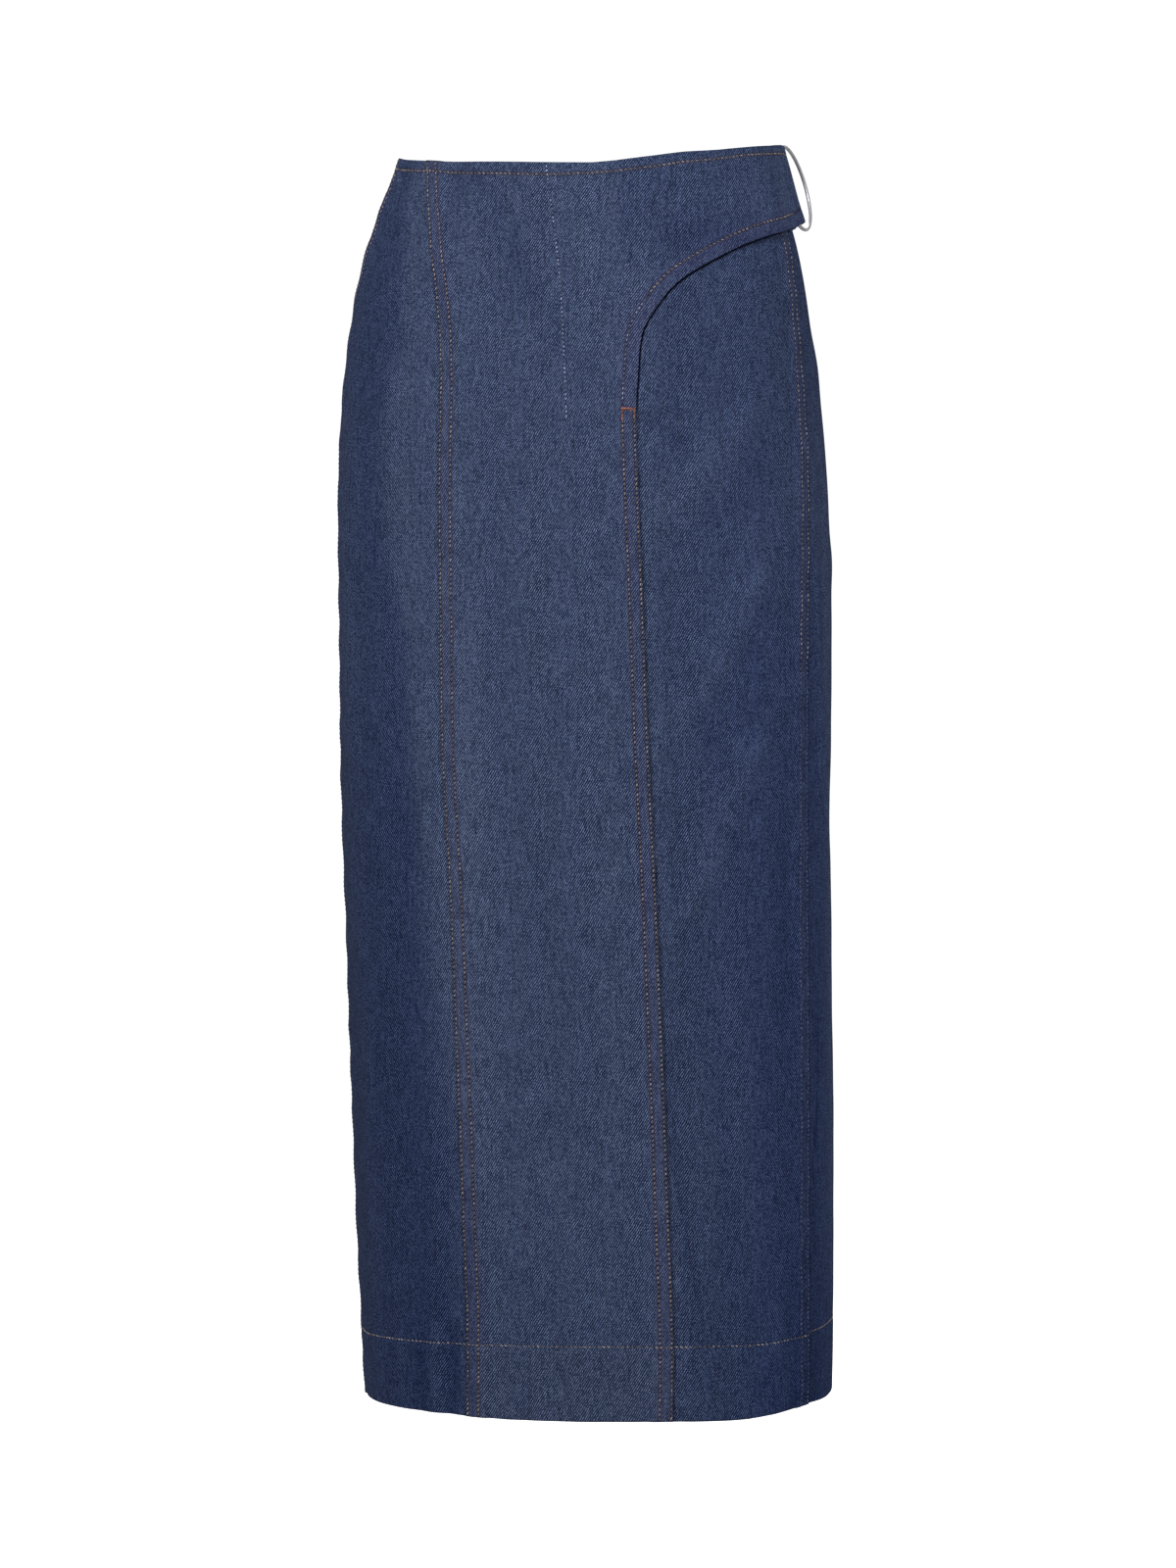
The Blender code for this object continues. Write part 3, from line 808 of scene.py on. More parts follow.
def thread_material(name, colour, dark):
    g = Nodes(name)
    along, number = g.uv("strand")
    rnd = g.white(g.vec(g.math("FLOOR", number), 1.3))
    twist = g.math("SINE", g.add(g.mul(along, 9.0), g.mul(g.math("FRACT", number), 6.283)))
    tone = g.add(0.60, g.mul(g.mul(rnd, rnd), 1.10))
    # lighter and darker along the twist: a painted highlight on the plies
    tone = g.mul(tone, g.add(0.90, g.mul(twist, 0.12)))
    base = g.mix(g.ramp(rnd, 0.0, 0.45, 0.55, 0.0), colour, dark)
    g.put(g.shader.inputs["Base Color"], g.scale_colour(base, tone))
    bump = g.node("ShaderNodeBump", Height=twist)
    bump.inputs["Strength"].default_value = 0.5
    bump.inputs["Distance"].default_value = 0.00008
    g.put(g.shader.inputs["Normal"], bump.outputs[0])
    g.shader.inputs["Roughness"].default_value = 0.55
    g.shader.inputs["Specular IOR Level"].default_value = 0.4
    return g.mat


def metal(name):
    g = Nodes(name)
    where = g.tree.nodes.new("ShaderNodeNewGeometry").outputs["Position"]
    fine = g.noise(where, 900.0, 3.0, 0.6)
    marks = g.noise(where, 160.0, 2.0, 0.5)
    g.put(g.shader.inputs["Base Color"],
          g.mix(g.ramp(marks, 0.35, 0.75), (0.56, 0.56, 0.58, 1), (0.48, 0.48, 0.50, 1)))
    g.put(g.shader.inputs["Roughness"], g.ramp(fine, 0.3, 0.7, 0.40, 0.50))
    bump = g.node("ShaderNodeBump", Height=fine)
    bump.inputs["Strength"].default_value = 0.08
    bump.inputs["Distance"].default_value = 0.0001
    g.put(g.shader.inputs["Normal"], bump.outputs[0])
    g.shader.inputs["Metallic"].default_value = 1.0
    return g.mat


DENIM = denim("denim")
THREAD = thread_material("copper thread", (0.285, 0.232, 0.203, 1), (0.110, 0.090, 0.096, 1))
# the copper thread in painted half shade, for the rows on the right side panel above its lower seam
HALF_SHADE_THREAD = thread_material("painted_half_shade thread", (0.245, 0.218, 0.225, 1), (0.105, 0.092, 0.110, 1))
DIM = thread_material("shaded thread", (0.115, 0.105, 0.150, 1), (0.070, 0.062, 0.095, 1))
TACK = thread_material("tack thread", (0.34, 0.125, 0.090, 1), (0.20, 0.085, 0.075, 1))
QUIET = thread_material("sunk thread", (0.33, 0.37, 0.56, 1), (0.16, 0.19, 0.33, 1))
METAL = metal("ring metal")

# ---------------------------------------------------------------- rows and columns
FROM_EDGE = np.array([0, 0.07, 0.25, 0.55, 0.9, 1.4, 1.9, 2.7, 4.0, 5.4, 7.0, 8.4, 9.3,
                      10.2, 11.4, 12.8, 14.4, 16.2, 18.4, 21.5])
UNDER_EDGE = np.array([-UNDER_LAP, -11.3, -10.6, -8.0, -5.0, -2.5, -1.0, 0.0, 1.0, 2.4,
                       4.4, 7.4, 11.4])
FINE = 2.0


def row_heights(step):
    top = [0, -0.07, -0.25, -0.55, -1.0, -1.8, -3.0, -4.6, -6.0, -7.0, -8.0, -9.2, -11.0, -13.0]
    middle = np.arange(-13.0 - step, -793.0, -step)
    low = np.arange(-793.8, -806.5, -0.8)
    band = np.arange(-806.5 - step, -846.5, -step)
    end = [-847.4, -848.7, -849.2, -849.6, -849.88, -850.0]
    return np.concatenate([top, middle, low, band, end])


def waist_row_depth(s):
    return np.interp(s, [r[0] for r in WAIST_ROW], [r[1] for r in WAIST_ROW])


def rim_rows(s, below, z):
    """Dips along the waist and hem rows."""
    h = -0.20 * bell((below - waist_row_depth(s)) / 0.8)
    hem = hem_row(s)
    h = h - 0.20 * bell((z - hem) / 0.9)
    h = h + 0.35 * smooth((hem - 1.5 - z) / 3.0)           # the hem is double below its row
    h = h + 0.13 * np.sin(s / 2.3 + 1.2 * np.sin(s / 17.0)) * bell((z - hem) / 7.0)
    h = h + 0.10 * np.sin(s / 2.6 + 1.5 * np.sin(s / 23.0)) * bell((below - 8) / 5.0)
    return h


class Panel:
    """A panel with level rows between two seam lines."""

    def __init__(self, left, right, laps, step, rows, column, seeds, dark):
        self.left, self.right, self.laps, self.dark = left, right, laps, dark
        self.column, self.seeds = column, seeds
        zn = row_heights(rows)
        a, b = left(zn), right(zn)
        start = FROM_EDGE if laps[0] == "over" else UNDER_EDGE
        end = FROM_EDGE if laps[1] == "over" else UNDER_EDGE
        if laps == ("under", "under"):
            start = np.concatenate([UNDER_EDGE, np.arange(12.8, 30.0, 1.3)])
        width = (b - a)
        squeeze = np.clip(0.9 * width / (start[-1] + end[-1]), 0, 1)
        s0 = a[:, None] + np.where(start > 0, start * squeeze[:, None], start)
        s1 = b[:, None] - np.where(end > 0, end * squeeze[:, None], end)[:, ::-1]
        count = int(max((width - start[-1] - end[-1]).max(), 8) / step)
        t = np.arange(1, count) / count
        mid = s0[:, -1:] + (s1[:, :1] - s0[:, -1:]) * t
        self.s = np.concatenate([s0, mid, s1], 1)
        self.zn = np.broadcast_to(zn[:, None], self.s.shape)
        self.z = lifted(self.zn, self.s, column)

    def distances(self, s, zn):
        return s - self.left(zn), self.right(zn) - s

    def height(self, s, z, zn):
        """Outer face above the plain skin."""
        dl, dr = self.distances(s, zn)
        h = folds(s, z) + rim_rows(s, -zn, z)
        for d, lap, seed in ((dl, self.laps[0], self.seeds[0]), (dr, self.laps[1], self.seeds[1])):
            if lap == "over":
                h = h + lap_height(d) + pucker(d, z, seed)
            else:
                h = h + pucker(-d, z, seed)
                h = h - 0.10 * bell(d / 2.0)
        return h

    def point(self, s, zn, up=0.0):
        z = lifted(zn, s, self.column)
        return skin(s, z, self.height(s, z, zn) + up)

    def shaded(self, s, z, dl, dr):
        """Distance out from the edge that lies on this panel, and how dark the painted shadow beside that
        edge is there.
        """
        if self.left is right_front:
            off, _ = edge_distance(s, z, line_right)
            edge = np.interp(s, line_right[len(zs_right):, 0], line_right[len(zs_right):, 1])
            outside = np.where(z > TACK_Z, z < edge, s > right_front(z))
            free = smooth((z - TACK_Z + 6) / 10)
            # the painted shadow under the flap's free edge is the darkest
            dark = self.dark[0] + (0.86 - self.dark[0]) * free
            return np.where(outside, off * (1 + 0.5 * free), -off), dark
        left = np.where(self.laps[0] == "under", dl * (0.75 if self.left is right_side else 1.0), 200.0)
        right = np.where(self.laps[1] == "under", dr, 200.0)
        return np.minimum(left, right), np.where(left < right, self.dark[0], self.dark[1])

    def build(self, name):
        s, z, zn = self.s, self.z, self.zn
        dl, dr = self.distances(s, zn)
        h = self.height(s, z, zn)
        e = np.minimum(np.minimum(dl + (0 if self.laps[0] == "over" else UNDER_LAP),
                                  dr + (0 if self.laps[1] == "over" else UNDER_LAP)),
                       np.minimum(-zn, zn - HEM_Z))
        thick = thickness(s, z)
        for d, lap in ((dl, self.laps[0]), (dr, self.laps[1])):
            away = smooth((d - 12.5) / 5.0) if lap == "over" else smooth((d - 1.0) / 5.0)
            thick = CLOTH + (thick - CLOTH) * away
        half = shell_half(e, thick / 2)
        middle = h - thick / 2
        outer, inner = skin(s, z, middle + half), skin(s, z, middle - half)
        near_left = dl < dr
        d = np.where(near_left, dl if self.laps[0] == "over" else -dl,
                     dr if self.laps[1] == "over" else -dr)
        if self.right is right_side:
            d = np.where((dr < dl) & (z < -345), 60.0, d)      # its rows sink out of sight
        maps = {"cloth": (s, z), "seam": (z, d), "row": (-zn - waist_row_depth(s), np.full_like(s, 60.0)),
                "tone": tone(s, z),
                "shade": self.shaded(s, z, dl, dr)}
        return cloth_mesh(name, outer, inner, maps, DENIM)


def half_round(z):
    return girth(lifted(z, 360.0, 1)) / 2


def back_from_left(z):
    return -half_round(z)


def back_from_right(z):
    return half_round(z)


# the last pair: how dark the painted shadow is beside the left and the right edge
side_left = Panel(left_side, left_front, ("over", "under"), 3.4, 2.5, 1, (1.0, 2.0), (0.0, 0.15))
side_right = Panel(right_front, right_side, ("under", "over"), 2.8, 2.2, 1, (3.0, 4.0), (0.30, 0.0))
back_left = Panel(back_from_left, left_side, ("over", "under"), 5.0, 3.2, 1, (5.0, 1.0), (0.0, 0.45))
back_right = Panel(right_side, back_from_right, ("under", "under"), 5.0, 3.2, 1, (4.0, 5.0), (0.78, 0.35))


# ---------------------------------------------------------------- centre front and flap
low_s = [r[0] for r in FLAP] + [float(quarter(r[1])) + r[0] for r in FLAP_END]
low_z = [r[1] for r in FLAP] + [r[1] for r in FLAP_END]
top_s = [r[2] for r in FLAP] + [float(quarter(r[3])) + r[2] for r in FLAP_END]
top_z = [r[3] for r in FLAP] + [r[3] for r in FLAP_END]
numbers = np.arange(len(low_s), dtype=float)
flap_low_s, flap_low_z = natural_spline(numbers, low_s), natural_spline(numbers, low_z)
flap_top_s, flap_top_z = natural_spline(numbers, top_s), natural_spline(numbers, top_z)
LAST = numbers[-1]

# which place of the waist edge a row of points joins to which place of the flap's edge
FAN = [
    # column of the flap, s on the waist edge
    (0.0, -96.6), (1.0, -70.0), (2.0, -42.0), (3.0, -8.0), (4.0, 20.0), (5.0, 44.0),
    (6.0, 66.0), (7.0, 88.0), (8.0, 108.0), (9.0, 123.5), (10.0, 137.0),
]
waist_z_fine = natural_spline([r[0] for r in WAIST[2:12]], [r[2] for r in WAIST[2:12]])


def waist_top(s):
    """Height of the waist edge of the centre front and the flap."""
    over = np.interp(s, top_s, top_z)
    return np.where(s < 60, lift_at(s, 2), over)


def centre_rows():
    """Both ends of each row of points, from the hem round to the flap's fold."""
    a_s, a_z, b_s, b_z, hung = [], [], [], [], []
    heights = row_heights(FINE)[::-1]
    for zn in heights[heights < -300]:
        a_s.append(float(left_front(zn)))
        b_s.append(float(right_front(zn)))
        a_z.append(zn)
        b_z.append(zn)
        hung.append(0.0)
    upper = heights[heights >= -300]
    for zn in upper:
        t = (zn + 300) / 300
        zb = -300 + (300 + TACK_Z) * t
        s = float(left_front(zn))
        a_s.append(s)
        a_z.append(float(lifted(zn, s, 2)))
        b_s.append(float(right_front(zb)))
        b_z.append(zb)
        hung.append(0.0)
    start = [-96.53, -96.35, -96.05, -95.6, -95.0, -94.0, -92.6]
    for s in start + list(np.arange(-91.0, 137.0, FINE)):
        k = float(np.interp(s, [r[1] for r in FAN], [r[0] for r in FAN]))
        a_s.append(float(s))
        a_z.append(float(waist_top(s)))
        b_s.append(float(flap_low_s(k)))
        b_z.append(float(flap_low_z(k)))
        hung.append(min(max((k - 4) / 5.0, 0.0), 1.0))
    for k in np.arange(10.0, LAST + 0.001, FINE * 0.115):
        a_s.append(float(flap_top_s(k)))
        a_z.append(float(flap_top_z(k)))
        b_s.append(float(flap_low_s(k)))
        b_z.append(float(flap_low_z(k)))
        hung.append(1.0)
    a_s[-1], a_z[-1] = float(flap_top_s(LAST)), float(flap_top_z(LAST))
    b_s[-1], b_z[-1] = float(flap_low_s(LAST)), float(flap_low_z(LAST))
    return [np.array(x) for x in (a_s, a_z, b_s, b_z, hung)]


def edge_distance(s, z, line):
    """Distance in the cloth from (s, z) to a line of points, and how far along it."""
    p = np.stack([np.ravel(s), np.ravel(z)], -1)
    a, b = line[:-1], line[1:]
    run = np.concatenate([[0], np.cumsum(np.linalg.norm(b - a, axis=1))])
    best = np.full(len(p), 1e9)
    where = np.zeros(len(p))
    ab = b - a
    ll = (ab ** 2).sum(1)
    for k in range(len(a)):
        t = np.clip(((p - a[k]) @ ab[k]) / ll[k], 0, 1)
        d = np.linalg.norm(p - a[k] - t[:, None] * ab[k], axis=1)
        take = d < best
        best = np.where(take, d, best)
        where = np.where(take, run[k] + t * math.sqrt(ll[k]), where)
    shape = np.shape(s)
    return best.reshape(shape), where.reshape(shape)


# right edge of the panel from the hem up and on along the flap, in steps of a few mm
zs_right = np.arange(HEM_Z, TACK_Z, 12.0)
line_right = np.array([(float(right_front(z)), z) for z in zs_right]
                      + [(float(flap_low_s(k)), float(flap_low_z(k)))
                         for k in np.arange(0, LAST + 0.01, 0.25)])
SEAM_RUN = float(np.linalg.norm(np.diff(line_right[:len(zs_right) + 1], axis=0), axis=1).sum())


class Centre:
    """Centre front panel and the flap that grows out of it."""

    def spread(self, s, z):
        """Distances to the left seam, the right or flap edge and the waist edge."""
        zn = np.where(z > -60, (z - lift_at(s, 2)) / (1 + lift_at(s, 2) / RISE_FADE), z)
        slope = (left_front(zn + 1) - left_front(zn - 1)) / 2
        dl = (s - left_front(np.minimum(zn, 0))) / np.sqrt(1 + slope ** 2)
        dr, along = edge_distance(s, z, line_right)
        top = waist_top(s) - z
        return dl, dr, along, top, zn

    def heights(self, s, z, dl, dr, along, top):
        """Outer face above the skin, or above the flap's own face past the dividing line."""
        line = right_front(np.minimum(z, 0))
        h = lap_height(dl) + pucker(dl, z, 2.0) + folds(s, z) * (1 - smooth((s - 70) / 60) * (z > -160))
        seam = smooth((-z - 150) / 25.0)
        # below the tack the edge is a seam; above it the panel swings up on to the flap's level
        h = h + lap_height(dr) * seam
        h = h + (1 - seam) * RAISED * smooth((s - (line - 34)) / 30)
        free = 1 - seam
        wave = pucker(dr, along, 3.0)
        h = h + wave * (seam + free * 0.6)
        # free edge: one row, and the edge stands a little off
        h = h - 0.16 * bell((dr - STITCH_IN) / 0.75) * free
        h = h + (0.9 * smooth((z + 165) / 45.0) * smooth((19 - dr) / 19)) * (z > TACK_Z)
        h = h - 0.20 * bell((top - waist_row_depth(s)) / 0.8)
        h = h + 0.10 * np.sin(s / 2.6 + 1.5 * np.sin(s / 23.0)) * bell((top - 8) / 5.0)
        hem = hem_row(s)
        h = h - 0.20 * bell((z - hem) / 0.9)
        h = h + 0.35 * smooth((hem - 1.5 - z) / 3.0)
        h = h + 0.13 * np.sin(s / 2.3 + 1.2 * np.sin(s / 17.0)) * bell((z - hem) / 7.0)
        return h

    def place(self, s, z, h):
        """Points at height h, on the skin or on the flap."""
        line = right_front(np.minimum(z, 0))
        on_flap = (s > line) & (z > TACK_Z)
        return np.where(on_flap[..., None], flap(s, z, h - RAISED), skin(s, z, h))

    def flap_extra(self, h, s, z):
        # past the dividing line the flap's own face already carries RAISED
        return h

    def point(self, s, z, up=0.0):
        s, z = np.asarray(s, float), np.asarray(z, float)
        dl, dr, along, top, zn = self.spread(s, z)
        return self.place(s, z, self.heights(s, z, dl, dr, along, top) + up)

    def build(self, name):
        a_s, a_z, b_s, b_z, hung = centre_rows()
        length = np.hypot(b_s - a_s, b_z - a_z)
        # how squarely each row meets the edges
        ta = np.stack([np.gradient(a_s), np.gradient(a_z)], -1)
        tb = np.stack([np.gradient(b_s), np.gradient(b_z)], -1)
        ta /= np.linalg.norm(ta, axis=1)[:, None] + 1e-9
        tb /= np.linalg.norm(tb, axis=1)[:, None] + 1e-9
        way = np.stack([b_s - a_s, b_z - a_z], -1) / length[:, None]
        sin_a = np.clip(np.abs(ta[:, 0] * way[:, 1] - ta[:, 1] * way[:, 0]), 0.45, 1)
        sin_b = np.clip(np.abs(tb[:, 0] * way[:, 1] - tb[:, 1] * way[:, 0]), 0.45, 1)
        reach = FROM_EDGE[-1] / sin_a + FROM_EDGE[-1] / sin_b
        squeeze = np.clip(0.88 * length / reach, 0, 1)
        first = FROM_EDGE[None, :] / sin_a[:, None] * squeeze[:, None] / length[:, None]
        last = 1 - FROM_EDGE[None, ::-1] / sin_b[:, None] * squeeze[:, None] / length[:, None]
        count = 34
        t = np.arange(1, count) / count
        mid = first[:, -1:] + (last[:, :1] - first[:, -1:]) * t
        f = np.concatenate([first, mid, last], 1)
        z = a_z[:, None] + (b_z - a_z)[:, None] * f
        plain = a_s[:, None] + (b_s - a_s)[:, None] * f
        low, high = b_s - quarter(b_z), a_s - quarter(a_z)
        hang = quarter(z) + high[:, None] + (low - high)[:, None] * f
        s = plain + (hang - plain) * hung[:, None]
        dl, dr, along, top, zn = self.spread(s, z)
        e = np.minimum(np.minimum(dl, top), np.minimum(dr, z - HEM_Z))
        z = z + hem_lift(s, z)
        h = self.heights(s, z, dl, dr, along, top)
        # the rims themselves are exact
        seam_rows = a_z <= lifted(0.0, -96.6, 2) - 1e-6
        e[:, 0] = 0
        e[:, -1] = 0
        e[0, :] = 0
        thick = thickness(s, z)
        thick = CLOTH + (thick - CLOTH) * smooth((dl - 12.5) / 5.0) * smooth((dr - 12.5) / 5.0)
        half = shell_half(np.maximum(e, 0), thick / 2)
        middle = h - thick / 2
        outer = self.place(s, z, middle + half)
        inner = self.place(s, z, middle - half)
        # the fold round the ring's wire, and the layer behind
        grids_o, grids_i = [outer], [inner]
        maps_s, maps_z = [s], [z]
        on_free = (dr <= dl) & (z > TACK_Z - 2)               # the free edge has one row only
        seam_d = [np.where(dl < dr, dl, np.where(on_free, np.maximum(dr, 5.3), dr))]
        seam_v = [np.where(dl < dr, z, along)]
        fold_y = FLAP_END[-1][0]
        f_end = f[-1]
        e_end = np.minimum(f_end, 1 - f_end) * length[-1]
        half_end = shell_half(e_end, CLOTH / 2)
        lift_end = h[-1] - RAISED - thick[-1] / 2
        nose_low = natural_spline([r[0] for r in FLAP_NOSE], [r[1] for r in FLAP_NOSE])
        nose_top = natural_spline([r[0] for r in FLAP_NOSE], [r[2] for r in FLAP_NOSE])
        bits = []
        for turn in np.linspace(0, 180, 13)[1:]:
            bits.append(("nose", float(turn), float(nose_low(turn)), float(nose_top(turn))))
        for y in (31.0, 29.0, 26.5, 24.0, 21.5, 19.0, 16.5, 14.0, 11.5, 9.0, 6.5, 4.0, 2.0,
                  0.0, -2.0, -3.2, -3.7, -3.93, -4.0):
            zl = float(np.interp(-y, [-r[0] for r in FLAP_BACK], [r[1] for r in FLAP_BACK]))
            zt = float(np.interp(-y, [-r[0] for r in FLAP_BACK], [r[2] for r in FLAP_BACK]))
            bits.append(("back", y, zl, zt))
        for kind, value, zl, zt in bits:
            zz = zt + (zl - zt) * f_end
            if kind == "nose":
                a = math.radians(value)
                fade = max(0.0, 1 - value / 90.0)
                bump = (h[-1] - RAISED) * fade
                centre_r = FOLD_R - 0.6
                s_n = quarter(zz) + fold_y + (centre_r + bump) * math.sin(a)
                d_n = -FOLD_R + (centre_r + bump) * math.cos(a)
                nose_s, nose_d = math.sin(a), math.cos(a)
                o = flap(s_n + half_end * nose_s, zz, d_n + half_end * nose_d)
                i = flap(s_n - half_end * nose_s, zz, d_n - half_end * nose_d)
                map_s = s[-1] + math.radians(value) * centre_r
            else:
                reach_r = 34.5 ** 2 - ((zz - RING_Z) / 0.963) ** 2
                begins = RING_Y - np.sqrt(np.maximum(reach_r, 0.0))
                space = GAP + (WIRE_SPACE - GAP) * smooth((value - begins + 8) / 8)
                s_n = quarter(zz) + value
                d_n = -(1.2 + space + 0.6)
                tip = value - FLAP_BACK[-1][0]
                h_n = np.minimum(half_end, shell_half(np.full_like(zz, tip), CLOTH / 2))
                o = flap(s_n, zz, d_n - h_n)
                i = flap(s_n, zz, d_n + h_n)
                map_s = s[-1] + math.pi * (FOLD_R - 0.6) + (fold_y - value)
            grids_o.append(o[None])
            grids_i.append(i[None])
            maps_s.append(map_s[None])
            maps_z.append(zz[None])
            seam_d.append(np.full((1, len(zz)), 40.0))
            seam_v.append(zz[None])
        outer, inner = np.concatenate(grids_o), np.concatenate(grids_i)
        ms, mz = np.concatenate(maps_s), np.concatenate(maps_z)
        # dart line
        dart = np.array(DART, float)
        off, run = edge_distance(ms, mz, dart)
        side = np.sign(ms - np.interp(-mz, -dart[:, 1], dart[:, 0]))
        off = np.where(mz < DART[-1][1] - 1, np.maximum(off, 3.0), off) * side
        light, deep = tone(ms, mz)
        # painted shade across the flap's top and painted light on its hanging end, with a deeper blue in
        # the painted shade at the right of the waist
        on_flap = ((0.10 * smooth((ms - 128) / 24) + 0.14 * smooth((ms - 170) / 16)
                    - 0.13 * smooth((ms - 44) / 14)) * smooth((mz + 75) / 30))
        maps = {"cloth": (ms, mz),
                "seam": (np.concatenate(seam_v), np.concatenate(seam_d)),
                "row": (np.concatenate([top - waist_row_depth(s)] + [
                    np.full((1, s.shape[1]), 60.0)] * (len(ms) - len(s))), off),
                "shade": (np.full_like(ms, 200.0), np.zeros_like(ms)),
                "tone": (light + on_flap, deep + on_flap - 0.10 * smooth((ms - 128) / 40) * (mz > -60))}
        return cloth_mesh(name, outer, inner, maps, DENIM)


centre = Centre()
shells = {
    "centre_front": centre.build("centre_front_cloth"),
    "side_front_left": side_left.build("side_front_left_cloth"),
    "side_front_right": side_right.build("side_front_right_cloth"),
    "back_left": back_left.build("back_left_cloth"),
    "back_right": back_right.build("back_right_cloth"),
}

# ---------------------------------------------------------------- stitching
SIDES = 6
rng = np.random.default_rng(7)


def stitches(name, paths, material, thick=0.42, pitch=PITCH, fill=0.66, sink=0.32, proud=0.14,
             slant=0.30):
    """Rows of separate stitches. A path is a function of distance and lift, and its length."""
    all_v, all_f, uv = [], [], []
    number = 0
    for locate, total in paths:
        n = max(int(total / pitch), 1)
        step = total / n
        starts = (np.arange(n) + 0.5) * step
        starts = starts + rng.uniform(-0.05, 0.05, n) * step
        half = 0.5 * fill * step * rng.uniform(0.90, 1.06, n)
        lean = slant + rng.uniform(-0.12, 0.12, n)
        profile = [(-1.0, -sink, 0.55), (-0.55, proud * 0.75, 1.0),
                   (0.55, proud * 0.75, 1.0), (1.0, -sink, 0.55)]
        centres = []
        for place, up, _ in profile:
            centres.append(locate(starts + half * place, np.full(n, up)))
        middle_up = locate(starts, np.full(n, proud + 1.0))
        middle_low = locate(starts, np.full(n, proud))
        normal = middle_up - middle_low
        normal /= np.linalg.norm(normal, axis=1)[:, None]
        tangent = centres[-1] - centres[0]
        tangent /= np.linalg.norm(tangent, axis=1)[:, None]
        across = np.cross(tangent, normal)
        across /= np.linalg.norm(across, axis=1)[:, None]
        rings = []
        for k, (place, up, size) in enumerate(profile):
            for side in range(SIDES):
                a = 2 * math.pi * side / SIDES
                r = thick * size
                offset = (across * (math.cos(a) * r + lean[:, None] * place)
                          + normal * math.sin(a) * r * 0.85)
                rings.append(centres[k] + offset)
        pts = np.stack(rings, 1)                      # n, rings * sides, 3
        base = sum(len(v) for v in all_v)
        all_v.append(pts.reshape(-1, 3))
        per = len(profile) * SIDES
        faces = []
        for k in range(len(profile) - 1):
            for side in range(SIDES):
                p, q = k * SIDES + side, k * SIDES + (side + 1) % SIDES
                faces.append((p, q, q + SIDES, p + SIDES))
        caps = [tuple(range(SIDES))[::-1], tuple(range(per - SIDES, per))]
        for m in range(n):
            at = base + m * per
            for face in faces:
                all_f.append([at + v for v in face])
            for cap in caps:
                all_f.append([at + v for v in cap])
        along = np.array([p[0] for p in profile]).repeat(SIDES)
        around = np.tile(np.arange(SIDES) / SIDES, len(profile)) * 0.98
        for m in range(n):
            uv.append(np.stack([along * half[m], number + m + around], -1))
        number += n
    return plain_mesh(name, np.concatenate(all_v) * MM, all_f, material,
                      np.concatenate(uv))


def seam_path(panel, edge, inward, z0, z1):
    """Row beside a seam of a panel, in from its edge."""
    zs = np.linspace(z0, z1, 400)
    s = edge(zs) + inward
    z = lifted(zs, s, panel.column)
    run = np.concatenate([[0], np.cumsum(np.hypot(np.diff(s), np.diff(z)))])

    def locate(x, up):
        zz = np.interp(x, run, zs)
        return panel.point(edge(zz) + inward, zz, up)
    return locate, run[-1]


def centre_path(points, inset=0.0):
    """Row on the centre front or the flap through (s, z) points."""
    pts = np.array(points, float)
    run = np.concatenate([[0], np.cumsum(np.linalg.norm(np.diff(pts, axis=0), axis=1))])

    def locate(x, up):
        return centre.point(np.interp(x, run, pts[:, 0]), np.interp(x, run, pts[:, 1]), up)
    return locate, run[-1]


def level_path(panel, zn, s0, s1):
    def locate(x, up):
        s = s0 + x * (1 if s1 > s0 else -1)
        return panel.point(s, zn(s) if callable(zn) else np.full_like(s, zn), up)
    return locate, abs(s1 - s0)


def offset_line(line, inward):
    """A line moved to its left by inward."""
    d = np.gradient(line, axis=0)
    d /= np.linalg.norm(d, axis=1)[:, None]
    return line + np.stack([-d[:, 1], d[:, 0]], -1) * inward


low_line = np.array([(float(flap_low_s(k)), float(flap_low_z(k)))
                     for k in np.arange(0, LAST + 0.001, 0.1)])

# double rows of the front seams, on the centre panel
z_left = np.linspace(-849.2, 1.0, 500)
rows_left = []
rows_right = []
for inward in (STITCH_OUT, STITCH_IN):
    zs = np.linspace(-849.2, -0.6, 500)
    ss = left_front(zs) + inward
    rows_left.append(centre_path(np.stack([ss, lifted(zs, ss, 2)], -1)))
    zs = np.linspace(-849.2, TACK_Z, 400)
    ss = right_front(zs) - inward
    rows_right.append(centre_path(np.stack([ss, zs + hem_lift(ss, zs)], -1)))
flap_row = offset_line(low_line, STITCH_IN)
visible_from = int(np.argmax(flap_row[:, 1] > -88))
row_flap = centre_path(flap_row[visible_from:168])       # stops where the turned end begins
row_faint = centre_path(flap_row[4:visible_from - 2])
waist_s = np.linspace(-96.0, float(flap_top_s(LAST)) + 1.0, 400)
row_waist = centre_path(np.stack([waist_s, waist_top(waist_s) - waist_row_depth(waist_s)], -1))
hem_s = np.linspace(float(left_front(HEM_ROW)) + 0.4, float(right_front(HEM_ROW)) - 0.4, 60)
row_hem = centre_path(np.stack([hem_s, hem_row(hem_s)], -1))
front_rows = stitches("front_stitching", rows_left + rows_right + [row_flap, row_waist, row_hem],
                      THREAD)
faint_rows = stitches("faint_stitching", [row_faint], QUIET, thick=0.28, sink=0.35, proud=0.04)
dart_rows = stitches("dart_stitching", [centre_path(DART[:-1])], QUIET, thick=0.40, pitch=2.9,
                     fill=0.55, sink=0.25, proud=0.12, slant=0.0)
dart_end = stitches("dart_end", [centre_path([(19.2, -162.0), (19.3, -171.5)])], QUIET, thick=0.26,
                    pitch=2.4, fill=0.80, sink=0.18, proud=0.08, slant=0.0)
tack_z = TACK_Z + 0.6
